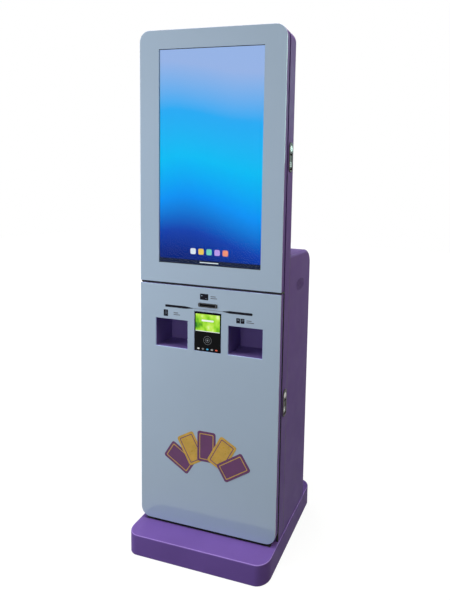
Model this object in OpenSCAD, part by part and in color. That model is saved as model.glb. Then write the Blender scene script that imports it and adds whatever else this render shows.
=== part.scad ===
// Free-standing self-service kiosk with a portrait touch display, a card slot,
// a payment terminal and two delivery trays.
// Units are millimetres. The origin is on the floor, under the middle of the base.
// +Z is up and the glass fronts face -Y.

/* [Overall] */
// Width of the doors, the column and the cabinet
body_w = 524; // [500:1:560]
// Height from the floor to the top of the head
total_h = 1800; // [1770:1:1900]
// Depth from the front glass to the back of the cabinet
cabinet_d = 300; // [290:1:340]
// Height of the cabinet's top above the floor
cabinet_h = 1075; // [1040:1:1120]
// Depth from the front glass to the back of the head
head_d = 78; // [72:1:95]
// Corner radius of the doors and the column
corner_r = 36; // [20:1:44]
// Bend radius at the cabinet's upper rear edge
cabinet_bend_r = 55; // [20:1:90]
// Radius of the rolled edges along the cabinet's top and back
edge_r = 12; // [6:1:16]
// Thickness of the sheet metal
sheet = 2; // [1.5:0.1:2.4]

/* [Base] */
// Height of the base above the floor
base_h = 76; // [60:1:90]
// How far the base stands out at each side
base_side_lip = 4; // [3.5:0.5:20]
// How far the base stands out in front of the glass
base_front_lip = 80; // [50:1:110]
// How far the base stands out behind the cabinet
base_rear_lip = 80; // [50:1:110]
// Corner radius of the base
base_corner_r = 45; // [20:1:60]
// Wall of the base
base_wall = 3; // [2:0.5:5]
// Thickness of the anchor plate in the base
anchor_plate_t = 4; // [3:0.5:8]
// Distance between the floor anchors across the width
anchor_span_x = 400; // [340:1:420]
// Distance between the floor anchors across the depth
anchor_span_y = 180; // [140:1:200]
// Radius of a floor anchor hole
anchor_hole_r = 6.5; // [5:0.5:9]
// Radius of the cable entry through the base and the cabinet floor
cable_hole_r = 30; // [20:1:38]
// Height of the rubber feet
foot_h = 3; // [2:0.5:10]
// Radius of the rubber feet
foot_r = 22; // [12:1:30]

/* [Doors] */
// Thickness of the front glass
glass_t = 5; // [4:0.5:8]
// Depth of a door frame behind its glass
door_t = 17; // [14:0.5:22]
// Shadow groove between the doors and the column
groove_w = 10; // [9:0.5:12]
// Gap between the lower door and the base
door_floor_gap = 10; // [6:1:20]
// Gap between the two doors
door_gap = 8; // [5:0.5:12]
// Width of the turned-in flange along a door's upper and lower edge
door_flange_w = 45; // [35:1:46]
// Width of the flange around the front of the column
column_flange_w = 14; // [14:0.5:18]
// Width of a door gasket
gasket_w = 6; // [4:0.5:6]
// Height of the rails behind the gap and the sill
rail_h = 40; // [40:1:50]
// Depth of the rails
rail_d = 20; // [14:1:22]

/* [Hinges] */
// Radius of a hinge knuckle
knuckle_r = 3.8; // [3.4:0.1:4]
// Height of one knuckle
knuckle_h = 16; // [12:1:22]
// Radius of a hinge pin
hinge_pin_r = 1.9; // [1.5:0.1:2]
// Distance of the end hinges from the door's ends
hinge_inset = 110; // [80:1:150]
// Gap between a pin or shaft and its bore, on the radius
running_gap = 0.05; // [0.02:0.01:0.1]

/* [Locks] */
// Width of a lock's face
lock_w = 30; // [28:1:32]
// Height of a lock's face
lock_h = 94; // [92:1:104]
// Thickness of a lock's face
lock_face_t = 2.5; // [1.5:0.5:3]
// Height of the lower door's lock above the door's middle
lower_lock_rise = 49; // [-60:1:90]
// Height of the head door's lock above the door's middle
head_lock_rise = 17; // [-60:1:80]
// Radius of the key cylinder
key_r = 7; // [5:0.5:8]
// Distance from the key's axis to the strike pin
strike_reach = 15; // [14:0.5:16]
// Radius of the strike pin
strike_pin_r = 2.5; // [1.5:0.5:3]

/* [Display] */
// Width of the display module
display_w = 404; // [380:1:410]
// Height of the display module
display_h = 726; // [690:1:730]
// Depth of the display module
display_t = 22; // [18:1:28]
// Height of the glass below the display
display_low = 62; // [50:1:80]
// Height of the glass above the display
display_top = 50; // [46:1:70]
// Gap between the display and the flange beside it
display_gap = 15; // [8:1:18]

/* [Delivery trays] */
// Width of a tray's opening
tray_w = 125; // [100:1:130]
// Height of a tray's opening
tray_h = 100; // [90:1:104]
// Depth from the front glass to the back of a tray
tray_d = 95; // [80:1:105]
// Distance of a tray's middle from the kiosk's middle
tray_x = 139; // [136:1:150]
// Distance of the trays below the gap between the doors
tray_drop = 124; // [121:1:136]
// Wall of a tray
tray_wall = 1.5; // [1:0.1:2]
// Height of an outlet slot in a tray's back
outlet_h = 12; // [8:1:16]
// Distance of an outlet slot below a tray's ceiling
outlet_drop = 10; // [6:1:14]

/* [Card slot and terminal] */
// Width of the card slot's bezel
bezel_w = 72; // [68:1:76]
// Height of the card slot's bezel
bezel_h = 14; // [13:0.5:16]
// How far the bezel stands out of the glass
bezel_lip = 3; // [1.5:0.5:5]
// Width of the card slot
slot_w = 58; // [55:0.5:59]
// Height of the card slot
slot_h = 5; // [4.5:0.1:6]
// Distance of the card slot below the gap between the doors
slot_drop = 63; // [58:1:65]
// Width of the card reader
reader_w = 76; // [74:1:84]
// Height of the card reader
reader_h = 34; // [30:1:36]
// Depth of the card reader behind the door's front plate
reader_d = 145; // [110:1:150]
// Width of the payment terminal's face
terminal_w = 100; // [90:1:104]
// Height of the payment terminal's face
terminal_h = 137; // [125:1:138]
// Thickness of the payment terminal's face
terminal_face_t = 4; // [3:0.5:4.5]
// Depth of the payment terminal's housing
terminal_d = 55; // [40:1:65]

/* [Receipt printer] */
// Width of the printer
printer_w = 96; // [92:1:104]
// Depth of the printer
printer_d = 150; // [146:1:156]
// Wall of the printer
printer_wall = 3; // [2:0.5:4]
// Radius of the paper roll
roll_r = 36; // [28:1:38]
// Width of the paper roll
roll_w = 80; // [57:1:82]
// Radius of the platen roller
platen_r = 6; // [5:0.5:7]

/* [Card dispenser] */
// Length of a card
card_l = 86; // [84:0.5:88]
// Width of a card
card_w = 54; // [52:0.5:56]
// Width of the dispenser's base
dispenser_w = 80; // [76:1:84]
// Depth of the dispenser's base
dispenser_d = 124; // [122:1:130]
// Height of the card hopper
hopper_h = 190; // [120:1:210]
// Radius of the feed rollers
feed_r = 9; // [7:0.5:10]
// Height of the weight on the cards
weight_h = 18; // [12:1:26]

/* [Electronics] */
// Width of the computer
computer_w = 190; // [160:1:200]
// Depth of the computer
computer_d = 190; // [160:1:200]
// Height of the computer
computer_h = 45; // [35:1:60]
// Radius of the computer's power button
button_r = 5; // [3.5:0.5:7]
// Travel of the computer's power button
button_travel = 2; // [1:0.5:3]
// Width of the power supply
supply_w = 115; // [90:1:120]
// Depth of the power supply
supply_d = 200; // [160:1:205]
// Height of the power supply
supply_h = 50; // [35:1:60]
// Width and height of the cooling fan
fan_w = 92; // [80:1:100]
// Thickness of the cooling fan
fan_t = 25; // [24:1:32]
// Distance of the fan's axis below the rear panel's upper edge
fan_drop = 115; // [105:1:118]
// Height of the mains inlet above the floor
inlet_z = 180; // [174:1:260]
// Distance of the mains inlet from the kiosk's middle
inlet_x = 150; // [60:1:180]

/* [Vents] */
// Distance of the side vent behind the front glass
vent_depth = 185; // [150:1:220]
// Distance of the side vent below the cabinet's top
vent_drop = 118; // [105:1:175]
// Length of the side vent
vent_l = 70; // [50:1:90]
// Height of the side vent
vent_h = 44; // [30:1:60]
// Number of slots in the side vent
vent_slots = 7; // [5:2:9]
// Width of one vent slot
vent_slot_w = 4; // [3:0.5:5]

/* [Hidden] */
$fn = 64;

purple = [0.40, 0.31, 0.55];
pale_glass = [0.66, 0.71, 0.78];
black = [0.05, 0.05, 0.06];
steel = [0.62, 0.63, 0.66];
zinc = [0.72, 0.73, 0.75];

// Overlap of a cutting tool past the face it cuts
cut = 1;
// Gap between flat pieces that pass each other
slip = 0.3;

base_w = body_w + 2 * base_side_lip;
base_d = cabinet_d + base_front_lip + base_rear_lip;

// Planes along the depth, from the glass to the cabinet's back
front_y = -base_d / 2 + base_front_lip;
plate_y = front_y + glass_t;
plate_back_y = plate_y + sheet;
door_back_y = plate_y + door_t;
column_y = door_back_y + groove_w;
column_back_y = front_y + head_d - sheet;
cabinet_back_y = front_y + cabinet_d;
inner_back_y = cabinet_back_y - sheet;
inner_w = body_w - 2 * sheet;

// The cabinet's top and rear sheets lie between the rolled edges of its sides
wrap_w = body_w - 2 * edge_r;
roll_y = cabinet_back_y - edge_r;
vent_z = cabinet_h - vent_drop;

// How far a rolled edge runs into the flat of its side
roll_lap = 1;

// Floor anchors and the opening above them
anchor_y = (column_y + rail_d + inner_back_y) / 2;
access_side = 32;
access_front_gap = 8;
access_rear_gap = 18;

// Heights of the doors: the head door is as tall as its display needs
head_h = display_low + display_h + display_top;
split_z = total_h - head_h - door_gap / 2;
lower_z0 = base_h + door_floor_gap;
lower_z1 = split_z - door_gap / 2;
head_z0 = split_z + door_gap / 2;
head_z1 = total_h;
display_z = head_z0 + display_low;
side_flange_w = (body_w - display_w) / 2 - display_gap;
slot_z = split_z - slot_drop;
tray_z = split_z - tray_drop - tray_h;

// Hinge axis, in the groove at the left side
hinge_side_gap = 0.2;
hinge_door_gap = 0.7;
hinge_x = -body_w / 2 + knuckle_r + hinge_side_gap;
hinge_y = door_back_y + knuckle_r + hinge_door_gap;
hinge_h = 3 * knuckle_h;
leaf_t = 2.5;
leaf_reach = 20;
hinge_gap = 0.6;
pin_head_h = 2;
lower_hinge_z = [lower_z0 + hinge_inset, (lower_z0 + lower_z1) / 2, lower_z1 - hinge_inset];
head_hinge_z = [head_z0 + hinge_inset, (head_z0 + head_z1) / 2, head_z1 - hinge_inset];

// Gaskets sit on the doors, over the column's flange
gasket_inset = column_flange_w / 2;
gasket_hinge_gap = 3;

// Locks in the column's right wall
lower_lock_z = (lower_z0 + lower_z1) / 2 + lower_lock_rise;
head_lock_z = (head_z0 + head_z1) / 2 + head_lock_rise;
lock_y = (column_y + column_back_y) / 2;
key_z = 28;
barrel_wall = 3;
barrel_l = 16;
cup_w = 24;
cup_d = 14;
cup_wall = 1.5;
cup_low = -42;
cup_high = 14;
lever_pin_r = 1.5;
lever_pin_x = -3;
lever_pin_z = 6;
lever_hub_r = 3;
lever_low = -36;
lever_play = 0.4;
lever_recess = 1;
cylinder_tail = 2;
cylinder_proud = 0.5;
keyway_d = 6;
keyway_w = 1.6;
cam_t = 3;
cam_rim = 2;
cam_x = body_w / 2 - barrel_l - cylinder_tail - cam_t;
hook_play = 0.5;
hook_t = 4;
hook_in_r = strike_reach + strike_pin_r + hook_play;
hook_out_r = hook_in_r + hook_t;
strike_t = 3;
strike_gap = 5;
strike_edge = 3;
strike_x = cam_x - strike_gap - strike_t;

// Trays and their outlets
tray_back_y = front_y + tray_d;
tray_flange = 10;
outlet_play = 4;
outlet_z = tray_z + tray_h - outlet_drop - outlet_h;
outlet_w = roll_w + outlet_play;
device_gap = 12;
device_y = tray_back_y + device_gap;

// How much smaller the card slot's bezel is behind its lip
bezel_step_w = 6;
bezel_step_h = 4;

// Gap between the card reader and the door's flange
reader_play = 2;

// The shelf puts both devices level with the outlets
feed_h = 78;
shelf_top = outlet_z + outlet_h / 2 - feed_h;
shelf_flange_h = 20;
shelf_front_gap = 4;

// Printer
printer_x = -tray_x;
printer_back_y = device_y + printer_d;
printer_head_h = 18;
printer_top = shelf_top + feed_h + printer_head_h;
roll_rear_gap = 14;
roll_floor_gap = 4;
paper_y = printer_back_y - printer_wall - roll_r - roll_rear_gap;
paper_z = shelf_top + printer_wall + roll_r + roll_floor_gap;
roll_shaft_r = 4;
paper_slit_h = 6;
platen_inset = 14;
platen_end_gap = 1;
platen_y = device_y + platen_inset;
platen_z = shelf_top + feed_h + platen_r;
platen_shaft_r = 3;
cover_t = 4;
cover_inset = 26;
cover_y = device_y + cover_inset;
cover_pin_r = 2;
cover_pin_l = 5;
cover_hub_r = 4;
cover_gap = 3;
cover_axis_gap = 6;
cover_axis_y = printer_back_y + cover_axis_gap;
cover_axis_z = printer_top + cover_t / 2;
ear_w = 8;
ear_drop = 24;

// Dispenser
dispenser_x = tray_x;
dispenser_wall = 3;
dispenser_top = shelf_top + feed_h;
hopper_wall = 2;
hopper_play = 1;
hopper_w = card_w + 2 * hopper_play;
hopper_l = card_l + 2 * hopper_play;
hopper_inset = 24;
hopper_y = device_y + hopper_inset;
hopper_mid_y = hopper_y + hopper_l / 2;
pick_y = hopper_y + hopper_l / 3;
exit_gap = 5;
exit_y = device_y + feed_r + exit_gap;
feed_z = dispenser_top - slip - feed_r;
feed_shaft_r = 3;
pulley_r = 10;
pulley_w = 6;
pulley_gap = 2;
belt_t = 1.5;
belt_x = dispenser_x - dispenser_w / 2 - pulley_gap - pulley_w;
motor_r = 15;
motor_l = 38;
feed_slit_h = 2;

// Electronics on the cabinet floor and the rear panel
rear_wrap_h = 110;
rear_panel_top = cabinet_h - cabinet_bend_r - rear_wrap_h;
fan_z = rear_panel_top - fan_drop;
floor_top = base_h + sheet;
computer_x = -220;
supply_x = 60;
rear_gap = 12;
computer_y = inner_back_y - rear_gap - computer_d;
supply_y = inner_back_y - rear_gap - supply_d;
button_inset = 20;
button_x = computer_x + computer_w - button_inset;
button_z = floor_top + computer_h / 2;
button_bore_d = 12;
button_play = 0.1;
button_proud = 0.5;

fan_rim = 3;
fan_bore_r = fan_w / 2 - fan_rim;
fan_hub_r = 17;
fan_blades = 7;
fan_blade_chord = 16;
fan_blade_t = 1.5;
fan_blade_tilt = 35;
fan_pin_r = 2;
fan_strut = 5;
fan_web_t = 4;
fan_inset = 3;
fan_tip_gap = 3;
fan_root = 3;
fan_end_gap = 1;

inlet_w = 50;
inlet_h = 62;
inlet_face_t = 3;
inlet_body_w = 42;
inlet_body_h = 54;
inlet_body_d = 30;
socket_w = 24;
socket_h = 17;
socket_d = 22;
socket_low = -20;
socket_pin_l = 15;
socket_pin_w = 2;
socket_pin_h = 4;
socket_pins = [[-7, -2], [7, -2], [0, 2]];
rocker_w = 20;
rocker_h = 15;
rocker_z = 13;
rocker_tilt = 10;
rocker_pin_r = 1.5;
rocker_pin_l = 2;
rocker_hub_r = 3.5;
rocker_face_d = 7;
rocker_axis_d = 3;
rocker_well_d = 14;
rocker_play = 2;

louvre_n = 8;
louvre_pitch = 10;
louvre_w = 76;
louvre_h = 4;
intake_z = 330;
intake_x = 130;
screw_r = 2;
screw_head_r = 4;
screw_head_h = 2;
screw_inset = 12;
screw_rows = 5;

// A box between two corners
module block(low, high) {
    translate(low) cube(high - low);
}

// A drawing in X and Z, given a thickness along Y
module slab(y, t) {
    translate([0, y + t, 0]) rotate([90, 0, 0]) linear_extrude(t) children();
}

// A drawing in Y and Z, given a thickness along X
module side_slab(x, t) {
    translate([x, 0, 0]) rotate([90, 0, 90]) linear_extrude(t) children();
}

// What is cut from one corner of a drawing to round it
module corner_waste(r) {
    difference() {
        square(r + cut);
        circle(r);
    }
}

// A rectangle about x = 0 whose lower and upper corners may be round
module outline(w, low, high, r_low, r_high) {
    difference() {
        translate([-w / 2, low]) square([w, high - low]);
        for (side = [0, 1]) mirror([side, 0]) {
            if (r_high > 0) translate([w / 2 - r_high, high - r_high]) corner_waste(r_high);
            if (r_low > 0) translate([w / 2 - r_low, low + r_low]) mirror([0, 1]) corner_waste(r_low);
        }
    }
}

// The same outline, drawn in all round by one distance
module inset_outline(d, low, high, r_low, r_high) {
    outline(body_w - 2 * d, low + d, high - d, max(r_low - d, 0), max(r_high - d, 0));
}

// A rectangle about a middle point
module rect(w, h, x, z) {
    translate([x - w / 2, z - h / 2]) square([w, h]);
}

// An upright shape with round ends
module stadium(w, h) {
    square([w, h - w], center = true);
    for (s = [-1, 1]) translate([0, s * (h - w) / 2]) circle(w / 2);
}

// A rod along X
module rod_x(r, x0, x1, y, z) {
    translate([x0, y, z]) rotate([0, 90, 0]) cylinder(r = r, h = x1 - x0);
}

// A rod along Y
module rod_y(r, y0, y1, x, z) {
    translate([x, y0, z]) rotate([-90, 0, 0]) cylinder(r = r, h = y1 - y0);
}

// A slice of pie between two angles
module wedge(r, a0, a1) {
    polygon([[0, 0], r * [cos(a0), sin(a0)], r * [cos(a1), sin(a1)]]);
}

module base_outline(d) {
    r = base_corner_r - d;
    w = base_w - 2 * d;
    depth = base_d - 2 * d;
    translate([0, -depth / 2]) outline(w, 0, depth, r, r);
}

module base_plinth() {
    access_x = body_w / 2 - access_side;
    access_front = column_y + rail_d + access_front_gap;
    access_back = inner_back_y - access_rear_gap;
    color(purple) difference() {
        translate([0, 0, foot_h]) linear_extrude(base_h - foot_h) base_outline(0);
        translate([0, 0, foot_h - cut])
            linear_extrude(base_h - foot_h - base_wall + cut) base_outline(base_wall);
        block([-access_x, access_front, base_h - base_wall - cut], [access_x, access_back, base_h + cut]);
    }
}

module base_anchor_plate() {
    w = base_w - 2 * base_wall;
    d = base_d - 2 * base_wall;
    color(steel) translate([0, 0, foot_h]) linear_extrude(anchor_plate_t) difference() {
        square([w, d], center = true);
        for (sx = [-1, 1], sy = [-1, 1])
            translate([sx * w / 2, sy * d / 2]) rotate(45) square(base_corner_r * sqrt(2), center = true);
        for (sx = [-1, 1], sy = [-1, 1])
            translate([sx * anchor_span_x / 2, anchor_y + sy * anchor_span_y / 2]) circle(anchor_hole_r);
        translate([0, anchor_y]) circle(cable_hole_r);
    }
}

module base_feet() {
    foot_x = base_w / 2 - base_corner_r - foot_r;
    foot_y = base_d / 2 - base_corner_r - foot_r / 2;
    color(black) for (sx = [-1, 1], sy = [-1, 1])
        translate([sx * foot_x, sy * foot_y, 0]) cylinder(r = foot_r, h = foot_h);
}

// Opening in the column's right wall behind a lock
module lock_cutout(z) {
    block([body_w / 2 - sheet - cut, lock_y - cup_w / 2 - slip, z + cup_low - slip],
          [body_w / 2 + cut, lock_y + cup_w / 2 + slip, z + key_z + key_r + barrel_wall + slip]);
}

module column_wrap() {
    color(purple) difference() {
        union() {
            slab(column_y, column_back_y - column_y) difference() {
                outline(body_w, base_h, total_h, 0, corner_r);
                outline(inner_w, base_h - cut, total_h - sheet, 0, corner_r - sheet);
            }
            slab(column_y, sheet) difference() {
                outline(body_w, base_h, total_h, 0, corner_r);
                outline(body_w - 2 * column_flange_w, base_h - cut, total_h - column_flange_w,
                        0, corner_r - column_flange_w);
            }
        }
        lock_cutout(lower_lock_z);
        lock_cutout(head_lock_z);
    }
}

// A hollow rail across the column, flush with its front flange
module rail(low) {
    pad_x = body_w / 2 - column_flange_w;
    difference() {
        union() {
            block([-inner_w / 2, column_y + sheet, low], [inner_w / 2, column_y + rail_d, low + rail_h]);
            block([-pad_x, column_y, low], [pad_x, column_y + sheet, low + rail_h]);
        }
        block([-body_w, column_y + 2 * sheet, low + sheet],
              [body_w, column_y + rail_d - sheet, low + rail_h - sheet]);
    }
}

module mid_rail() {
    color(black) rail(split_z - rail_h / 2);
}

module sill_rail() {
    color(purple) rail(base_h);
}

module head_back_panel() {
    color(purple) slab(column_back_y, sheet) outline(body_w, cabinet_h, total_h, 0, corner_r);
}

// The cabinet seen from its side, drawn in by one distance at its top and back
module cabinet_profile(d) {
    r = cabinet_bend_r - d;
    depth = cabinet_back_y - column_back_y - d;
    translate([column_back_y, base_h]) difference() {
        square([depth, cabinet_h - base_h - d]);
        translate([depth - r, cabinet_h - base_h - d - r]) corner_waste(r);
    }
}

module vent_pattern() {
    reach = (vent_slots - 1) / 2;
    pitch = (vent_l - vent_slot_w) / (vent_slots - 1);
    translate([front_y + vent_depth, vent_z]) for (i = [-reach : reach])
        translate([i * pitch, 0]) stadium(vent_slot_w, vent_h * sqrt(1 - pow(i / (reach + 1), 2)));
}

// Section of a rolled edge
module edge_section() {
    difference() {
        intersection() {
            circle(edge_r);
            square(edge_r);
        }
        circle(edge_r - sheet);
    }
    translate([edge_r - sheet, -roll_lap]) square([sheet, roll_lap]);
}

// The right side: a flat sheet whose top and rear edges roll inwards
module cabinet_side() {
    bend_y = cabinet_back_y - cabinet_bend_r;
    bend_z = cabinet_h - cabinet_bend_r;
    color(purple) {
        side_slab(body_w / 2 - sheet, sheet) difference() {
            cabinet_profile(edge_r);
            vent_pattern();
        }
        translate([wrap_w / 2, bend_y, cabinet_h - edge_r]) rotate([90, 0, 0])
            linear_extrude(bend_y - column_back_y) edge_section();
        translate([wrap_w / 2, bend_y, bend_z]) rotate([90, 0, 90])
            rotate_extrude(angle = 90) translate([cabinet_bend_r - edge_r, 0])
                mirror([1, -1]) edge_section();
        translate([wrap_w / 2, roll_y, base_h]) linear_extrude(bend_z - base_h) edge_section();
    }
}

module cabinet_side_left() {
    mirror([1, 0, 0]) cabinet_side();
}

module cabinet_side_right() {
    cabinet_side();
}

module cabinet_top_wrap() {
    low = base_h - cut;
    color(purple) side_slab(-wrap_w / 2, wrap_w) difference() {
        cabinet_profile(0);
        cabinet_profile(sheet);
        translate([column_back_y - cut, low]) square([sheet + cut, cabinet_h - sheet - low]);
        translate([column_back_y - cut, low]) square([cabinet_d, rear_panel_top - low]);
    }
}

// Places of the screws around the rear panel
function screw_places() = [
    for (side = [-1, 1], row = [0 : screw_rows - 1])
        [side * (wrap_w / 2 - screw_inset),
         base_h + screw_inset + row * (rear_panel_top - base_h - 2 * screw_inset) / (screw_rows - 1)]
];

module louvres(x, z) {
    for (i = [0 : louvre_n - 1])
        rect(louvre_w, louvre_h, x, z + (i - (louvre_n - 1) / 2) * louvre_pitch);
}

module cabinet_rear_panel() {
    color(purple) slab(inner_back_y, sheet) difference() {
        translate([-wrap_w / 2, base_h]) square([wrap_w, rear_panel_top - base_h]);
        louvres(0, fan_z);
        for (side = [-1, 1]) louvres(side * intake_x, intake_z);
        rect(inlet_body_w + 2 * slip, inlet_body_h + 2 * slip, inlet_x, inlet_z);
        for (p = screw_places()) translate(p) circle(screw_r + running_gap);
    }
}

module panel_screws() {
    color(zinc) for (p = screw_places()) {
        rod_y(screw_r, inner_back_y, cabinet_back_y, p[0], p[1]);
        rod_y(screw_head_r, cabinet_back_y, cabinet_back_y + screw_head_h, p[0], p[1]);
    }
}

module cabinet_floor() {
    floor_y = column_y + rail_d;
    color(purple) difference() {
        block([-inner_w / 2, floor_y, base_h], [inner_w / 2, roll_y, floor_top]);
        translate([0, anchor_y, base_h - cut]) cylinder(r = cable_hole_r, h = sheet + 2 * cut);
    }
}

module device_shelf() {
    shelf_y = device_y - shelf_front_gap;
    color(zinc) {
        block([-inner_w / 2, shelf_y, shelf_top - sheet], [inner_w / 2, roll_y, shelf_top]);
        block([-inner_w / 2, shelf_y, shelf_top - shelf_flange_h], [inner_w / 2, shelf_y + sheet, shelf_top]);
    }
}

// One knuckle of a hinge, bored for its pin
module knuckle(z) {
    difference() {
        union() {
            translate([hinge_x, hinge_y, z]) cylinder(r = knuckle_r, h = knuckle_h);
            children();
        }
        translate([hinge_x, hinge_y, z - cut])
            cylinder(r = hinge_pin_r + running_gap, h = knuckle_h + 2 * cut);
    }
}

// The half of a hinge that is fixed to the column
module frame_leaf(z) {
    low = z - hinge_h / 2;
    web_y = column_y - leaf_t;
    plate_x = hinge_x + knuckle_r + hinge_gap;
    block([plate_x, web_y, low], [-body_w / 2 + column_flange_w, column_y, low + hinge_h]);
    for (step = [0, 2]) knuckle(low + step * knuckle_h)
        block([hinge_x, web_y, low + step * knuckle_h], [plate_x, column_y, low + (step + 1) * knuckle_h]);
}

// The half of a hinge that is fixed to the door
module door_leaf(z) {
    low = z - hinge_h / 2;
    mid_low = low + knuckle_h + slip;
    mid_h = knuckle_h - 2 * slip;
    web_y = door_back_y + leaf_t;
    plate_x = hinge_x + knuckle_r + hinge_gap;
    block([plate_x, door_back_y, low], [plate_x + leaf_reach, web_y, low + hinge_h]);
    difference() {
        union() {
            translate([hinge_x, hinge_y, mid_low]) cylinder(r = knuckle_r, h = mid_h);
            block([hinge_x, door_back_y, mid_low], [plate_x, web_y, mid_low + mid_h]);
        }
        translate([hinge_x, hinge_y, mid_low - cut])
            cylinder(r = hinge_pin_r + running_gap, h = knuckle_h + cut);
    }
}

module hinge_frame_leaves() {
    color(zinc) for (z = concat(lower_hinge_z, head_hinge_z)) frame_leaf(z);
}

module lower_hinge_door_leaves() {
    color(zinc) for (z = lower_hinge_z) door_leaf(z);
}

module head_hinge_door_leaves() {
    color(zinc) for (z = head_hinge_z) door_leaf(z);
}

module hinge_pins() {
    color(zinc) for (z = concat(lower_hinge_z, head_hinge_z))
        translate([hinge_x, hinge_y, z - hinge_h / 2]) {
            cylinder(r = hinge_pin_r, h = hinge_h);
            translate([0, 0, hinge_h]) cylinder(r = knuckle_r - hinge_gap, h = pin_head_h);
        }
}

// Places a lock's parts on the column's right wall
module at_lock(z) {
    translate([body_w / 2, lock_y, z]) children();
}

module lock_bezel() {
    recess_w = cup_w - 2 * cup_wall;
    difference() {
        union() {
            side_slab(0, lock_face_t) stadium(lock_w, lock_h);
            block([-cup_d, -cup_w / 2, cup_low], [0, cup_w / 2, cup_high]);
            rod_x(key_r + barrel_wall, -barrel_l, 0, 0, key_z);
        }
        block([-cup_d + cup_wall, -recess_w / 2, cup_low + cup_wall],
              [lock_face_t + cut, recess_w / 2, cup_high - cup_wall]);
        rod_x(key_r + running_gap, -barrel_l - cut, lock_face_t + cut, 0, key_z);
        rod_y(lever_pin_r + running_gap, -cup_w / 2 - cut, cup_w / 2 + cut, lever_pin_x, lever_pin_z);
    }
}

module lock_bezels() {
    color(zinc) for (z = [lower_lock_z, head_lock_z]) at_lock(z) lock_bezel();
}

module lock_lever() {
    half_w = cup_w / 2 - cup_wall - lever_play;
    color(zinc) {
        rod_y(lever_pin_r, -cup_w / 2, cup_w / 2, lever_pin_x, lever_pin_z);
        rod_y(lever_hub_r, -half_w, half_w, lever_pin_x, lever_pin_z);
        block([lever_pin_x - lever_hub_r / 2, -half_w, lever_low],
              [lock_face_t - lever_recess, half_w, lever_pin_z]);
    }
}

module lower_lock_lever() {
    at_lock(lower_lock_z) lock_lever();
}

module head_lock_lever() {
    at_lock(head_lock_z) lock_lever();
}

module lock_cylinder() {
    face_x = lock_face_t + cylinder_proud;
    color([0.80, 0.78, 0.72]) difference() {
        rod_x(key_r, -barrel_l - cylinder_tail, face_x, 0, key_z);
        block([face_x - keyway_d, -keyway_w / 2, key_z - key_r / 2],
              [face_x + cut, keyway_w / 2, key_z + key_r / 2]);
    }
}

module lower_lock_cylinder() {
    at_lock(lower_lock_z) lock_cylinder();
}

module head_lock_cylinder() {
    at_lock(head_lock_z) lock_cylinder();
}

// The hook in its locked pose, about its own axis, with the door to its left
module hook_shape() {
    hub_r = key_r + cam_rim;
    arm_a0 = 194;
    arm_a1 = 220;
    tip_a = 174;
    reach = 3 * hook_out_r;
    circle(hub_r);
    intersection() {
        circle(hook_out_r);
        wedge(reach, arm_a0, arm_a1);
    }
    intersection() {
        difference() {
            circle(hook_out_r);
            circle(hook_in_r);
        }
        wedge(reach, tip_a, arm_a1);
    }
}

// The hook hangs down when it is unlocked
module lock_cam(z) {
    color(steel) translate([cam_x, lock_y, z + key_z]) rotate([90, 0, 0]) side_slab(0, cam_t) hook_shape();
}

module lower_lock_cam() {
    lock_cam(lower_lock_z);
}

module head_lock_cam() {
    lock_cam(head_lock_z);
}

// Bracket and pin on the door that the hook catches
module door_strike(z) {
    pin_y = lock_y - strike_reach;
    pin_z = z + key_z;
    plate_in = 3;
    plate_out = 13;
    plate_half_h = 20;
    arm_half_h = 8;
    color(steel) {
        block([strike_x - plate_in, door_back_y, pin_z - plate_half_h],
              [strike_x + plate_out, door_back_y + strike_t, pin_z + plate_half_h]);
        block([strike_x, door_back_y, pin_z - arm_half_h],
              [strike_x + strike_t, pin_y + strike_pin_r + strike_edge, pin_z + arm_half_h]);
        rod_x(strike_pin_r, strike_x, cam_x + cam_t + cylinder_tail / 2, pin_y, pin_z);
    }
}

module lower_door_strike() {
    door_strike(lower_lock_z);
}

module head_door_strike() {
    door_strike(head_lock_z);
}

// A door's steel pan: front plate, rim and turned-in rear flange
module door_pan(low, high, r_low, r_high) {
    difference() {
        slab(plate_y, door_t) outline(body_w, low, high, r_low, r_high);
        slab(plate_back_y, door_t - 2 * sheet) inset_outline(sheet, low, high, r_low, r_high);
        slab(door_back_y - sheet - cut, sheet + 2 * cut)
            outline(body_w - 2 * side_flange_w, low + door_flange_w, high - door_flange_w, 0, 0);
    }
}

module gasket(low, high, r_low, r_high, hinge_heights) {
    color(black) difference() {
        slab(door_back_y, groove_w - slip) difference() {
            inset_outline(gasket_inset, low, high, r_low, r_high);
            inset_outline(gasket_inset + gasket_w, low, high, r_low, r_high);
        }
        for (z = hinge_heights)
            block([-body_w / 2, door_back_y - cut, z - hinge_h / 2 - gasket_hinge_gap],
                  [-body_w / 2 + side_flange_w, column_y, z + hinge_h / 2 + gasket_hinge_gap]);
    }
}

// Openings for the trays, the terminal and the card slot
module device_cutouts(play) {
    for (side = [-1, 1]) rect(tray_w, tray_h, side * tray_x, tray_z + tray_h / 2);
    rect(terminal_w + 2 * play, terminal_h + 2 * play, 0, tray_z + terminal_h / 2);
    rect(bezel_w - bezel_step_w + 2 * play, bezel_h - bezel_step_h + 2 * play, 0, slot_z);
}

module lower_door_frame() {
    color(purple) difference() {
        door_pan(lower_z0, lower_z1, corner_r, 0);
        slab(plate_y - cut, sheet + 2 * cut) device_cutouts(slip);
        slab(door_back_y - sheet - cut, sheet + 2 * cut)
            rect(reader_w + 2 * reader_play, reader_h + 2 * reader_play, 0, slot_z);
    }
}

module lower_door_glass() {
    color(pale_glass) slab(front_y, glass_t) difference() {
        outline(body_w, lower_z0, lower_z1, corner_r, 0);
        device_cutouts(slip);
    }
}

module lower_door_gasket() {
    gasket(lower_z0, lower_z1, corner_r, 0, lower_hinge_z);
}

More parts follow.
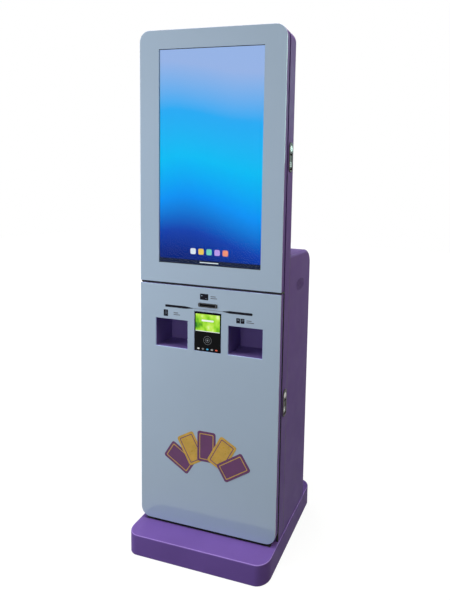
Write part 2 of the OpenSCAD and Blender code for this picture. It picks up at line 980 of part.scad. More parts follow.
// The head door's rim and its turned-in rear flange
module head_door_frame() {
    color(purple) difference() {
        slab(plate_back_y, door_t - sheet) outline(body_w, head_z0, head_z1, 0, corner_r);
        slab(plate_back_y - cut, door_t - 2 * sheet + cut) inset_outline(sheet, head_z0, head_z1, 0, corner_r);
        slab(door_back_y - sheet - cut, sheet + 2 * cut)
            outline(body_w - 2 * side_flange_w, head_z0 + door_flange_w, head_z1 - door_flange_w, 0, 0);
    }
}

// The plate welded to that rim behind the glass, cut out for the display
module head_door_plate() {
    color(purple) slab(plate_y, sheet) difference() {
        outline(body_w, head_z0, head_z1, 0, corner_r);
        rect(display_w + 2 * slip, display_h + 2 * slip, 0, display_z + display_h / 2);
    }
}

module head_glass() {
    color(pale_glass) slab(front_y, glass_t) outline(body_w, head_z0, head_z1, 0, corner_r);
}

module head_door_gasket() {
    gasket(head_z0, head_z1, 0, corner_r, head_hinge_z);
}

// A sheet-metal tray behind an opening, with an outlet slot in its back
module tray(x) {
    out_w = tray_w + 2 * tray_wall;
    color(purple) difference() {
        union() {
            slab(plate_back_y, tray_back_y - plate_back_y)
                rect(out_w, tray_h + 2 * tray_wall, x, tray_z + tray_h / 2);
            slab(plate_back_y, tray_wall)
                rect(tray_w + 2 * tray_flange, tray_h + 2 * tray_flange, x, tray_z + tray_h / 2);
        }
        slab(plate_back_y - cut, tray_back_y - tray_wall - plate_back_y + cut)
            rect(tray_w, tray_h, x, tray_z + tray_h / 2);
        slab(tray_back_y - tray_wall - cut, tray_wall + 2 * cut)
            rect(outlet_w, outlet_h, x, outlet_z + outlet_h / 2);
    }
}

module tray_left() {
    tray(-tray_x);
}

module tray_right() {
    tray(tray_x);
}

module card_slot_bezel() {
    color(black) difference() {
        union() {
            slab(front_y - bezel_lip, bezel_lip) rect(bezel_w, bezel_h, 0, slot_z);
            slab(front_y, plate_back_y - front_y)
                rect(bezel_w - bezel_step_w, bezel_h - bezel_step_h, 0, slot_z);
        }
        slab(front_y - bezel_lip - cut, plate_back_y - front_y + bezel_lip + 2 * cut)
            rect(slot_w, slot_h, 0, slot_z);
    }
}

module card_reader_body() {
    throat_d = 40;
    color([0.16, 0.17, 0.18]) difference() {
        slab(plate_back_y, reader_d) rect(reader_w, reader_h, 0, slot_z);
        slab(plate_back_y - cut, throat_d + cut) rect(slot_w, slot_h, 0, slot_z);
    }
}

module terminal_housing() {
    face_back_y = front_y + terminal_face_t;
    flange = 5;
    step = 1;
    middle_z = tray_z + terminal_h / 2;
    color(black) {
        slab(face_back_y, terminal_d) rect(terminal_w - step, terminal_h - step, 0, middle_z);
        slab(plate_back_y, sheet) rect(terminal_w + 2 * flange, terminal_h + 2 * flange, 0, middle_z);
    }
}

module terminal_face() {
    color([0.02, 0.02, 0.03]) slab(front_y, terminal_face_t)
        rect(terminal_w, terminal_h, 0, tray_z + terminal_h / 2);
}

module display_panel() {
    color([0.10, 0.30, 0.75]) slab(plate_y, display_t)
        rect(display_w, display_h, 0, display_z + display_h / 2);
}

// Two bars that hold the display to the back of the head door, each with a loose spacer at both ends
module display_bars() {
    bar_h = 30;
    bar_t = 3;
    bar_end_gap = 2;
    bar_places = [0.22, 0.78];
    bar_x = body_w / 2 - gasket_inset - gasket_w - bar_end_gap;
    spacer_x = body_w / 2 - side_flange_w + cut;
    display_back_y = plate_y + display_t;
    color(zinc) for (place = bar_places) {
        z = display_z + display_h * place;
        block([-bar_x, display_back_y, z], [bar_x, display_back_y + bar_t, z + bar_h]);
        for (side = [0, 1]) mirror([side, 0, 0])
            block([spacer_x, door_back_y, z], [bar_x, display_back_y - slip, z + bar_h]);
    }
}

module display_board() {
    board_w = 150;
    board_h = 110;
    board_t = 14;
    color([0.13, 0.35, 0.22]) slab(plate_y + display_t, board_t)
        rect(board_w, board_h, 0, display_z + display_h / 2);
}

module printer_body() {
    half_w = printer_w / 2;
    inner = half_w - printer_wall;
    hub_x = half_w - ear_w;
    bore_l = cover_pin_l + cut;
    color(black) difference() {
        union() {
            block([printer_x - half_w, device_y, shelf_top],
                  [printer_x + half_w, printer_back_y, printer_top]);
            for (side = [-1, 1]) translate([printer_x + side * (half_w - ear_w / 2), 0, 0])
                block([-ear_w / 2, printer_back_y, printer_top - ear_drop],
                      [ear_w / 2, cover_axis_y + cover_hub_r, cover_axis_z + cover_hub_r]);
        }
        block([printer_x - inner, device_y + printer_wall, shelf_top + printer_wall],
              [printer_x + inner, printer_back_y - printer_wall, printer_top + cut]);
        block([printer_x - outlet_w / 2, device_y - cut, shelf_top + feed_h - paper_slit_h],
              [printer_x + outlet_w / 2, device_y + printer_wall + cut, shelf_top + feed_h]);
        rod_x(roll_shaft_r + running_gap, printer_x - printer_w, printer_x + printer_w, paper_y, paper_z);
        rod_x(platen_shaft_r + running_gap, printer_x - printer_w, printer_x + printer_w, platen_y, platen_z);
        for (side = [0, 1]) translate([printer_x, 0, 0]) mirror([side, 0, 0])
            rod_x(cover_pin_r + running_gap, hub_x - cut, hub_x + bore_l, cover_axis_y, cover_axis_z);
    }
}

module printer_cover() {
    half_w = printer_w / 2;
    hub_x = half_w - ear_w - slip;
    pin_x = hub_x + cover_pin_l;
    color([0.18, 0.19, 0.20]) {
        block([printer_x - half_w, cover_y, printer_top],
              [printer_x + half_w, printer_back_y - cover_gap, printer_top + cover_t]);
        block([printer_x - hub_x, printer_back_y - cover_gap, printer_top],
              [printer_x + hub_x, cover_axis_y, printer_top + cover_t]);
        rod_x(cover_hub_r, printer_x - hub_x, printer_x + hub_x, cover_axis_y, cover_axis_z);
        rod_x(cover_pin_r, printer_x - pin_x, printer_x + pin_x, cover_axis_y, cover_axis_z);
    }
}

module printer_platen() {
    half_l = printer_w / 2 - printer_wall - platen_end_gap;
    color(black) {
        rod_x(platen_r, printer_x - half_l, printer_x + half_l, platen_y, platen_z);
        rod_x(platen_shaft_r, printer_x - printer_w / 2, printer_x + printer_w / 2, platen_y, platen_z);
    }
}

module paper_roll() {
    color([0.95, 0.94, 0.91]) {
        rod_x(roll_r, printer_x - roll_w / 2, printer_x + roll_w / 2, paper_y, paper_z);
        rod_x(roll_shaft_r, printer_x - printer_w / 2, printer_x + printer_w / 2, paper_y, paper_z);
    }
}

module dispenser_body() {
    half_w = dispenser_w / 2;
    back_y = device_y + dispenser_d;
    window_l = 2 * feed_r;
    window_w = 34;
    sight_w = 20;
    sight_low = 20;
    hopper_top = dispenser_top + hopper_h;
    color([0.30, 0.32, 0.35]) translate([dispenser_x, 0, 0]) difference() {
        union() {
            block([-half_w, device_y, shelf_top], [half_w, back_y, dispenser_top]);
            block([-hopper_w / 2 - hopper_wall, hopper_y - hopper_wall, dispenser_top],
                  [hopper_w / 2 + hopper_wall, hopper_y + hopper_l + hopper_wall, hopper_top]);
        }
        block([-half_w + dispenser_wall, device_y + dispenser_wall, shelf_top + dispenser_wall],
              [half_w - dispenser_wall, back_y - dispenser_wall, dispenser_top - dispenser_wall]);
        block([-hopper_w / 2, hopper_y, dispenser_top],
              [hopper_w / 2, hopper_y + hopper_l, hopper_top + cut]);
        block([-hopper_w / 2, hopper_y - hopper_wall - cut, dispenser_top],
              [hopper_w / 2, hopper_y + cut, dispenser_top + feed_slit_h]);
        block([-sight_w / 2, hopper_y + hopper_l - cut, dispenser_top + sight_low],
              [sight_w / 2, hopper_y + hopper_l + hopper_wall + cut, hopper_top + cut]);
        for (y = [pick_y, exit_y]) {
            block([-window_w / 2, y - window_l / 2, dispenser_top - dispenser_wall - cut],
                  [window_w / 2, y + window_l / 2, dispenser_top + (y == pick_y ? cut : feed_slit_h)]);
            rod_x(feed_shaft_r + running_gap, -dispenser_w, dispenser_w, y, feed_z);
        }
    }
}

// A rubber roller on a shaft, with a belt pulley at its left end
module feed_roller(y) {
    roller_w = 28;
    rod_x(feed_r, dispenser_x - roller_w / 2, dispenser_x + roller_w / 2, y, feed_z);
    rod_x(feed_shaft_r, belt_x, dispenser_x + dispenser_w / 2, y, feed_z);
    rod_x(pulley_r, belt_x, belt_x + pulley_w, y, feed_z);
}

module dispenser_pick_roller() {
    color(black) feed_roller(pick_y);
}

module dispenser_exit_roller() {
    color(black) feed_roller(exit_y);
}

// A belt loop around both pulleys
module belt_loop(r) {
    for (y = [exit_y, pick_y]) translate([y, feed_z]) circle(r);
    translate([exit_y, feed_z - r]) square([pick_y - exit_y, 2 * r]);
}

module dispenser_belt() {
    color(black) side_slab(belt_x, pulley_w) difference() {
        belt_loop(pulley_r + slip + belt_t);
        belt_loop(pulley_r + slip);
    }
}

module dispenser_motor() {
    wall_x = dispenser_x + dispenser_w / 2;
    color(steel) rod_x(motor_r, wall_x, wall_x + motor_l, pick_y, feed_z);
}

module card_weight() {
    knob_r = 8;
    knob_h = 12;
    color(zinc) {
        block([dispenser_x - card_w / 2, hopper_mid_y - card_l / 2, dispenser_top],
              [dispenser_x + card_w / 2, hopper_mid_y + card_l / 2, dispenser_top + weight_h]);
        translate([dispenser_x, hopper_mid_y, dispenser_top + weight_h]) cylinder(r = knob_r, h = knob_h);
    }
}

module computer_case() {
    color([0.14, 0.14, 0.15]) difference() {
        block([computer_x, computer_y, floor_top],
              [computer_x + computer_w, computer_y + computer_d, floor_top + computer_h]);
        rod_y(button_r + button_play, computer_y - cut, computer_y + button_bore_d, button_x, button_z);
    }
}

module computer_button() {
    face_y = computer_y - button_travel - button_proud;
    inner_y = computer_y + button_bore_d - button_travel - slip;
    color(zinc) rod_y(button_r, face_y, inner_y, button_x, button_z);
}

module power_supply() {
    color(zinc) block([supply_x, supply_y, floor_top],
                      [supply_x + supply_w, supply_y + supply_d, floor_top + supply_h]);
}

module inlet_socket() {
    outer_y = cabinet_back_y + inlet_face_t;
    socket_y = outer_y - socket_d;
    socket_mid_z = inlet_z + socket_low + socket_h / 2;
    well_w = rocker_w + 2 * slip;
    well_h = rocker_h + 2 * rocker_play;
    bore_x = rocker_w / 2 + rocker_pin_l + cut;
    color(black) difference() {
        union() {
            slab(cabinet_back_y, inlet_face_t) rect(inlet_w, inlet_h, inlet_x, inlet_z);
            slab(cabinet_back_y - inlet_body_d, inlet_body_d)
                rect(inlet_body_w, inlet_body_h, inlet_x, inlet_z);
        }
        difference() {
            slab(socket_y, socket_d + cut) rect(socket_w, socket_h, inlet_x, socket_mid_z);
            for (p = socket_pins) slab(socket_y - cut, socket_pin_l + cut)
                rect(socket_pin_w, socket_pin_h, inlet_x + p[0], socket_mid_z + p[1]);
        }
        slab(cabinet_back_y - rocker_well_d, rocker_well_d + inlet_face_t + cut)
            rect(well_w, well_h, inlet_x, inlet_z + rocker_z);
        rod_x(rocker_pin_r + running_gap, inlet_x - bore_x, inlet_x + bore_x,
              cabinet_back_y - rocker_axis_d, inlet_z + rocker_z);
    }
}

// The rocker rests tilted to its off side
module inlet_rocker() {
    half_w = rocker_w / 2;
    pin_x = half_w + rocker_pin_l;
    color([0.55, 0.08, 0.08]) translate([inlet_x, cabinet_back_y - rocker_axis_d, inlet_z + rocker_z])
        rotate([rocker_tilt, 0, 0]) {
            block([-half_w, 0, -rocker_h / 2], [half_w, rocker_face_d, rocker_h / 2]);
            rod_x(rocker_pin_r, -pin_x, pin_x, 0, 0);
            rod_x(rocker_hub_r, -half_w, half_w, 0, 0);
        }
}

module fan_frame() {
    back = inner_back_y;
    front = back - fan_t;
    color(black) translate([0, 0, fan_z]) {
        difference() {
            block([-fan_w / 2, front, -fan_w / 2], [fan_w / 2, back, fan_w / 2]);
            rod_y(fan_bore_r, front - cut, back + cut, 0, 0);
        }
        rod_y(fan_hub_r, back - fan_web_t, back, 0, 0);
        rod_y(fan_pin_r, front + fan_inset, back - fan_web_t, 0, 0);
        for (a = [45, 135]) rotate([0, a, 0])
            block([-fan_bore_r - cut, back - fan_web_t, -fan_strut / 2],
                  [fan_bore_r + cut, back, fan_strut / 2]);
    }
}

module fan_rotor() {
    front = inner_back_y - fan_t + fan_inset;
    back = inner_back_y - fan_web_t - fan_end_gap;
    middle = (front + back) / 2;
    color([0.20, 0.20, 0.22]) translate([0, 0, fan_z]) difference() {
        union() {
            rod_y(fan_hub_r, front, back, 0, 0);
            for (i = [0 : fan_blades - 1]) rotate([0, i * 360 / fan_blades, 0])
                translate([0, middle, 0]) rotate([fan_blade_tilt, 0, 0])
                    block([fan_hub_r - fan_root, -fan_blade_t / 2, -fan_blade_chord / 2],
                          [fan_bore_r - fan_tip_gap, fan_blade_t / 2, fan_blade_chord / 2]);
        }
        rod_y(fan_pin_r + running_gap, front - cut, back + cut, 0, 0);
    }
}

base_plinth();
base_anchor_plate();
base_feet();
column_wrap();
mid_rail();
sill_rail();
head_back_panel();
cabinet_side_left();
cabinet_side_right();
cabinet_top_wrap();
cabinet_rear_panel();
cabinet_floor();
device_shelf();
hinge_frame_leaves();
hinge_pins();
lock_bezels();
panel_screws();
lower_door_frame();
lower_door_glass();
lower_door_gasket();
lower_hinge_door_leaves();
lower_door_strike();
tray_left();
tray_right();
card_slot_bezel();
card_reader_body();
terminal_housing();
terminal_face();
head_door_frame();
head_door_plate();
head_glass();
head_door_gasket();
head_hinge_door_leaves();
head_door_strike();
display_panel();
display_bars();
display_board();
lower_lock_lever();
lower_lock_cylinder();
lower_lock_cam();
head_lock_lever();
head_lock_cylinder();
head_lock_cam();
printer_body();
printer_cover();
printer_platen();
paper_roll();
dispenser_body();
dispenser_pick_roller();
dispenser_exit_roller();
dispenser_belt();
dispenser_motor();
card_weight();
computer_case();
computer_button();
power_supply();
inlet_socket();
inlet_rocker();
fan_frame();
fan_rotor();
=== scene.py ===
import math

import bmesh
import bpy
from mathutils import Matrix, Vector
from mathutils.geometry import normal as plane_normal


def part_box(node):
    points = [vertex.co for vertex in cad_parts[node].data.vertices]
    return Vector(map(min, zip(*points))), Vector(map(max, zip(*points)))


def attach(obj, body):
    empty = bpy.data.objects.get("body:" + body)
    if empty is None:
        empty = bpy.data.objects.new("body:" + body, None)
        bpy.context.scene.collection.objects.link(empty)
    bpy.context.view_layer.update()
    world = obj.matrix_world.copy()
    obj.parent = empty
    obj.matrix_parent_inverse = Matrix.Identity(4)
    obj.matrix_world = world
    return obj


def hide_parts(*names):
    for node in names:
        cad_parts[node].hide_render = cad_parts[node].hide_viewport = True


# The looks of a free-standing card kiosk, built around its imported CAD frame.
# Lengths are in millimetres and angles in degrees. A mesh is scaled to metres as it is made.
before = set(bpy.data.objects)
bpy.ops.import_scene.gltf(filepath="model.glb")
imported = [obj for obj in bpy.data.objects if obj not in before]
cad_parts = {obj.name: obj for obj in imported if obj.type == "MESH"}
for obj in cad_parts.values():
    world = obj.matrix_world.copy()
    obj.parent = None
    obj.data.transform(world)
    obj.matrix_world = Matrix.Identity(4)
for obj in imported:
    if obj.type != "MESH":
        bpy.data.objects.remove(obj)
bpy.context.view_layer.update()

MM = 0.001


def srgb(red, green, blue):
    """A colour in 0-255 screen values, as the linear colour that a shader takes."""
    def linear(value):
        value /= 255
        return value / 12.92 if value <= 0.04045 else ((value + 0.055) / 1.055) ** 2.4
    return (linear(red), linear(green), linear(blue), 1.0)


def tones(colour, spread):
    """A darker and a lighter tone on either side of a colour."""
    return tuple(tuple(min(c * f, 1.0) for c in colour[:3]) + (1.0,) for f in (1 - spread, 1 + spread))


def node_box(name):
    """The lowest and highest corner of a CAD node."""
    low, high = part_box(name)
    return Vector(low) / MM, Vector(high) / MM


def node_middle(name):
    low, high = node_box(name)
    return (low + high) / 2


def spread_out(count, pitch, middle=0):
    """Evenly spaced places about a middle."""
    return [middle + (i - (count - 1) / 2) * pitch for i in range(count)]


# Materials

class Nodes:
    """The nodes of a material or of the world, around its one shader."""

    def __init__(self, owner, shader):
        owner.use_nodes = True
        self.nodes = owner.node_tree.nodes
        self.links = owner.node_tree.links
        self.shader = self.nodes[shader]

    def set(self, socket, value):
        self.plug(self.shader.inputs[socket], value)

    def plug(self, socket, value):
        if isinstance(value, bpy.types.NodeSocket):
            self.links.new(value, socket)
        else:
            socket.default_value = value

    def node(self, kind, inputs=None, **settings):
        made = self.nodes.new("ShaderNode" + kind)
        for key, value in settings.items():
            setattr(made, key, value)
        for key, value in (inputs or {}).items():
            self.plug(made.inputs[key], value)
        return made

    def place(self):
        return self.node("TexCoord").outputs["Object"]

    def noise(self, scale, detail=2.0, stretch=(1, 1, 1)):
        spread = self.node("Mapping", {"Vector": self.place(), "Scale": stretch})
        return self.node("TexNoise", {"Vector": spread.outputs["Vector"], "Scale": scale,
                                      "Detail": detail}).outputs["Fac"]

    def ramp(self, value, *stops):
        made = self.node("ValToRGB", {"Fac": value})
        ends = made.color_ramp.elements
        ends[0].position, ends[0].color = stops[0]
        ends[1].position, ends[1].color = stops[-1]
        for position, colour in stops[1:-1]:
            made.color_ramp.elements.new(position).color = colour
        return made.outputs["Color"]

    def level(self, value, low, high, start=0.3, end=0.7):
        return self.node("MapRange", {"Value": value, "From Min": start, "From Max": end,
                                      "To Min": low, "To Max": high}).outputs["Result"]

    def math(self, operation, first, second):
        return self.node("Math", {0: first, 1: second}, operation=operation).outputs["Value"]

    def seen(self):
        """One for what the eye sees, also through glass and in mirrors, and nought for other light."""
        path = self.node("LightPath").outputs
        direct = self.math("MAXIMUM", path["Is Camera Ray"], path["Is Transmission Ray"])
        return self.math("MAXIMUM", direct, path["Is Glossy Ray"])

    def relief(self, height, depth, normal=None):
        inputs = {"Height": height, "Distance": depth * MM, "Strength": 1.0}
        if normal:
            inputs["Normal"] = normal
        return self.node("Bump", inputs).outputs["Normal"]

    def soft_edge(self, radius):
        return self.node("Bevel", {"Radius": radius * MM}, samples=4).outputs["Normal"]

    def mix(self, factor, first, second):
        return self.node("Mix", {"Factor": factor, 6: first, 7: second}, data_type="RGBA").outputs[2]


class Finish(Nodes):
    """A procedural material around one Principled shader."""

    def __init__(self, name, **constants):
        self.material = bpy.data.materials.new(name)
        super().__init__(self.material, "Principled BSDF")
        for socket, value in constants.items():
            self.set(socket.replace("_", " "), value)


# Bends at which an edge's paint is lightened and whole, as cosines, and the grain of the lightened patches;
# the lightening is partly rubbed paint and partly a painted highlight
LIGHTENED_BEND = 0.72
WHOLE_BEND = 0.97
WEAR_AND_HIGHLIGHT_GRAIN = 90


def surface(name, colour, spread=0.06, rough=(0.4, 0.5), grain=600, depth=0.02, patch=8,
            stretch=(1, 1, 1), edge=0.8, wear_and_highlight=None, **constants):
    """A finish whose colour and gloss vary a little, with a fine relief and soft edges."""
    made = Finish(name, **constants)
    dark, light = tones(colour, spread)
    fine = made.noise(grain, 2, stretch)
    shade = made.ramp(made.noise(patch, 5, stretch), (0.3, dark), (0.7, light))
    soft = made.soft_edge(edge)
    # Edges are painted lighter in patches, partly as rubbed paint and partly as a painted highlight
    if wear_and_highlight:
        flat = made.node("NewGeometry").outputs["Normal"]
        bend = made.node("VectorMath", {0: soft, 1: flat}, operation="DOT_PRODUCT").outputs["Value"]
        edge_lift = made.level(bend, 1.0, 0.0, LIGHTENED_BEND, WHOLE_BEND)
        edge_lift_patches = made.math("MULTIPLY", edge_lift, made.noise(WEAR_AND_HIGHLIGHT_GRAIN, 3))
        shade = made.mix(edge_lift_patches, shade, wear_and_highlight)
    made.set("Base Color", shade)
    made.set("Roughness", made.level(made.noise(patch * 3, 4, stretch), *rough))
    made.set("Normal", made.relief(fine, depth, soft))
    return made


def glow(name, colour_of, strength=1.0, **constants):
    """A lit surface whose colour comes from a function of the finish."""
    made = Finish(name, **constants)
    made.set("Base Color", srgb(4, 5, 8))
    made.set("Emission Color", colour_of(made))
    made.set("Emission Strength", strength)
    made.set("Specular IOR Level", 0.0)
    made.set("Roughness", made.level(made.noise(40), 0.25, 0.35))
    return made


PURPLE = srgb(116, 89, 165)
PALE = srgb(171, 193, 215)
PLUM = srgb(92, 34, 92)
GOLD = srgb(206, 164, 62)

purple_paint = surface("purple_paint", PURPLE, 0.05, (0.42, 0.52), 900, 0.015,
                       wear_and_highlight=srgb(176, 156, 210), Specular_IOR_Level=0.03)
# A lighter purple that paints the highlight along the base's round top edge
highlight_edge_paint = surface("purple_edge_painted_highlight", srgb(156, 129, 205), 0.08, (0.4, 0.5), 900, 0.015,
                     Specular_IOR_Level=0.1)
# A copy of the body's purple paint, toned apart for the trays' shaded insides, which is painted light
tray_paint = surface("tray_paint", srgb(114, 97, 158), 0.06, (0.4, 0.52), 900, 0.015,
                     wear_and_highlight=srgb(160, 142, 200), Specular_IOR_Level=0.1)
glass_paint = surface("back_painted_glass", PALE, 0.025, (0.09, 0.13), 3, 0.02, patch=2.2, IOR=1.5)
# The polished edge's tone, made pale blue-white to paint the highlight that the glass edges catch
glass_edge_highlight = surface("polished_glass_edge_highlight", srgb(186, 206, 250), 0.05, (0.05, 0.14), 60, 0.02, patch=20,
                     IOR=1.5)
clear_glass = surface("clear_glass", srgb(240, 246, 248), 0.01, (0.0, 0.012), 3, 0.01, patch=2.5,
                      Transmission_Weight=1.0, IOR=1.12)
black_plastic = surface("black_moulded_plastic", srgb(20, 21, 25), 0.15, (0.32, 0.48), 1500, 0.02, patch=30)
dark_case = surface("dark_powder_case", srgb(40, 41, 45), 0.12, (0.5, 0.62), 900, 0.03, patch=16,
                    wear_and_highlight=srgb(92, 92, 96))
grey_plastic = surface("grey_moulded_plastic", srgb(94, 98, 106), 0.08, (0.4, 0.52), 1300, 0.02, patch=24)
red_plastic = surface("red_moulded_plastic", srgb(150, 22, 24), 0.1, (0.28, 0.38), 1300, 0.015, patch=24)
black_glass = surface("black_glass", srgb(9, 10, 13), 0.1, (0.03, 0.06), 3, 0.01, patch=4, IOR=1.5,
                      Specular_IOR_Level=0.06)
zinc_steel = surface("zinc_plated_steel", srgb(186, 188, 190), 0.12, (0.28, 0.46), 260, 0.01, patch=60,
                     Metallic=1.0)
lock_metal = surface("satin_chrome", srgb(164, 162, 160), 0.06, (0.2, 0.3), 900, 0.006, patch=40,
                     stretch=(1, 1, 0.06), Metallic=1.0)
lock_grey = surface("die_cast_grey", srgb(62, 58, 62), 0.1, (0.36, 0.48), 700, 0.012, patch=40,
                    Specular_IOR_Level=0.15)
black_zinc = surface("black_zinc", srgb(46, 46, 50), 0.15, (0.36, 0.5), 400, 0.01, patch=60, Metallic=0.8)
aluminium = surface("mill_aluminium", srgb(196, 198, 200), 0.06, (0.3, 0.42), 700, 0.008, patch=30,
                    stretch=(1, 0.05, 1), Metallic=1.0)
nylon = surface("white_nylon", srgb(224, 221, 208), 0.04, (0.4, 0.52), 1200, 0.015, patch=40)
rubber = surface("black_rubber", srgb(26, 26, 27), 0.15, (0.62, 0.8), 700, 0.05, patch=40)
board_green = surface("circuit_board", srgb(30, 92, 62), 0.14, (0.3, 0.5), 220, 0.05, patch=120)
paper_white = surface("thermal_paper", srgb(236, 234, 228), 0.03, (0.7, 0.85), 700, 0.02, patch=20,
                      stretch=(0.02, 1, 1))
ink = surface("black_ink", srgb(18, 18, 28), 0.12, (0.35, 0.5), 900, 0.005, patch=50,
              Specular_IOR_Level=0.1)
ink_grey = surface("grey_ink", srgb(104, 110, 122), 0.08, (0.35, 0.5), 900, 0.005, patch=50)
plum_ink = surface("plum_ink", PLUM, 0.08, (0.3, 0.42), 900, 0.005, patch=50)
gold_ink = surface("gold_ink", GOLD, 0.1, (0.25, 0.4), 900, 0.005, patch=50)


# Meshes

TINY_RADIUS = 0.15
FLAT_ANGLE = 32

# Slot, rise and round edge of a screw head, as shares of its radius
SCREW_SLOT = (1.4, 0.3)
SCREW_RISE = 0.6
SCREW_EDGE = 0.3


def rounded(width, height, radius, middle=(0, 0), steps=8):
    """A rectangle with round corners, as a function of how far it is drawn in.
    The corners run from the lower left one, counter-clockwise."""
    radii = radius if isinstance(radius, tuple) else (radius,) * 4

    def outline(inset=0):
        points = []
        for turn, (side, end) in enumerate(((-1, -1), (1, -1), (1, 1), (-1, 1))):
            r = max(radii[turn] - inset, TINY_RADIUS)
            count = steps if radii[turn] >= 1 else 1
            u = middle[0] + side * (width / 2 - inset - r)
            v = middle[1] + end * (height / 2 - inset - r)
            for step in range(count + 1):
                angle = math.radians(180 + 90 * (turn + step / count))
                points.append((u + r * math.cos(angle), v + r * math.sin(angle)))
        return points
    return outline


def disc(radius, middle=(0, 0), steps=32):
    """A circle, as a function of how far it is drawn in."""
    def outline(inset=0):
        r = max(radius - inset, TINY_RADIUS)
        angles = [2 * math.pi * i / steps for i in range(steps)]
        return [(middle[0] + r * math.cos(a), middle[1] + r * math.sin(a)) for a in angles]
    return outline


def corners(*points):
    """A polygon with no edge treatment."""
    return lambda inset=0: list(points)


def plate(back, front, radius=0.0, steps=3):
    """The profile of a plate whose two edges are round: how far it is drawn in at each level."""
    if radius <= 0:
        return [(0, back), (0, front)]
    way = math.copysign(radius, front - back)
    turns = [math.radians(90 * i / steps) for i in range(steps + 1)]
    rear = [(radius * (1 - math.sin(a)), back + way * (1 - math.cos(a))) for a in turns]
    fore = [(radius * (1 - math.cos(a)), front - way * (1 - math.sin(a))) for a in turns]
    return rear + fore


def raised(back, front, radius, steps=3):
    """The profile of a plate that is round at its front edge only."""
    return [(0, back)] + plate(back, front, radius, steps)[steps + 1:]


def on_front(u, v, w):
    return (u, w, v)


def on_side(u, v, w):
    return (w, u, v)


def on_top(u, v, w):
    return (u, v, w)


class Piece:
    """One named mesh, gathered from closed shells."""

    def __init__(self, name):
        self.name = name
        self.mesh = bmesh.new()
        self.finishes = []

    def index(self, finish):
        if finish not in self.finishes:
            self.finishes.append(finish)
        return self.finishes.index(finish)

    def ring(self, place, outline, inset, level):
        return [self.mesh.verts.new(place(u, v, level)) for u, v in outline(inset)]

    def wall(self, finish, low, high):
        index = self.index(finish)
        for i in range(len(low)):
            self.mesh.faces.new((low[i - 1], low[i], high[i], high[i - 1])).material_index = index

    def fill(self, edges, across):
        filled = bmesh.ops.triangle_fill(self.mesh, use_beauty=True, edges=edges, normal=across)["geom"]
        return [item for item in filled if isinstance(item, bmesh.types.BMFace)]

    def cap(self, finish, *rings):
        """A face over a ring, with holes.
        A fill that misses the outer ring is made again from its other side."""
        if len(rings) == 1:
            faces = [self.mesh.faces.new(rings[0])]
        else:
            pairs = [(ring[i - 1], ring[i]) for ring in rings for i in range(len(ring))]
            edges = [self.mesh.edges.get(pair) or self.mesh.edges.new(pair) for pair in pairs]
            across = plane_normal([vert.co for vert in rings[0]])
            faces = self.fill(edges, across)
            if not any(edges[0] in face.edges[:] for face in faces):
                bmesh.ops.delete(self.mesh, geom=faces, context="FACES")
                faces = self.fill(edges, -across)
        for face in faces:
            face.material_index = self.index(finish)

    def solid(self, finish, place, outline, profile, holes=(), edge=None):
        """A closed shell: an outline at each (inset, level) of a profile, with holes right through."""
        shells = [[self.ring(place, outline, inset, level) for inset, level in profile]]
        for hole in holes:
            shells.append([self.ring(place, hole, -inset, level) for inset, level in profile])
        for rings in shells:
            for low, high in zip(rings, rings[1:]):
                self.wall(edge or finish, low, high)
        for end in (0, -1):
            self.cap(finish, *[rings[end] for rings in shells])

    def front(self, finish, outline, profile, holes=(), edge=None):
        """A closed shell that is drawn as seen from the front."""
        self.solid(finish, on_front, outline, profile, holes, edge)

    def block(self, finish, low, high, edge=0.5):
        """A box between two corners, with its edges taken off."""
        middle = ((low[0] + high[0]) / 2, (low[1] + high[1]) / 2)
        shape = rounded(high[0] - low[0], high[1] - low[1], edge, middle)
        self.solid(finish, on_top, shape, plate(low[2], high[2], edge, 1))

    def rod(self, finish, middle, radius, back, front, edge=0.3):
        self.front(finish, disc(radius, middle, 24), plate(back, front, edge, 2))

    def lamp(self, middle, face, way, radius=1.6, rise=0.6):
        """A small green lamp that stands on a face."""
        self.rod(green_lit, middle, radius, face, face + way * rise, 0.2)

    def screw(self, place, middle, face, radius=3, way=1):
        """A slotted pan head that stands on a face."""
        slot = rounded(SCREW_SLOT[0] * radius, SCREW_SLOT[1] * radius, 0, middle)
        profile = raised(face, face + way * SCREW_RISE * radius, SCREW_EDGE * radius, 2)
        self.solid(zinc_steel, place, disc(radius, middle, 20), profile, [slot])

    def corner_screws(self, place, low, high, inset, face, radius, way=1):
        """Four screws on a face, inside the corners of a rectangle."""
        for u in (low[0] + inset, high[0] - inset):
            for v in (low[1] + inset, high[1] - inset):
                self.screw(place, (u, v), face, radius, way)

    def done(self, body, replaces=()):
        bmesh.ops.recalc_face_normals(self.mesh, faces=self.mesh.faces)
        bmesh.ops.scale(self.mesh, vec=(MM, MM, MM), verts=self.mesh.verts)
        data = bpy.data.meshes.new(self.name)
        self.mesh.to_mesh(data)
        self.mesh.free()
        for finish in self.finishes:
            data.materials.append(finish.material)
        data.shade_smooth()
        data.set_sharp_from_angle(angle=math.radians(FLAT_ANGLE))
        piece = bpy.data.objects.new(self.name, data)
        bpy.context.collection.objects.link(piece)
        piece.modifiers.new("weighted_normals", "WEIGHTED_NORMAL").keep_sharp = True
        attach(piece, body)
        if replaces:
            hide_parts(*replaces)
        return piece


# Base

# The steps of the round top edge that carry a painted highlight in a lighter purple
HIGHLIGHT_STEPS = (3, 4)


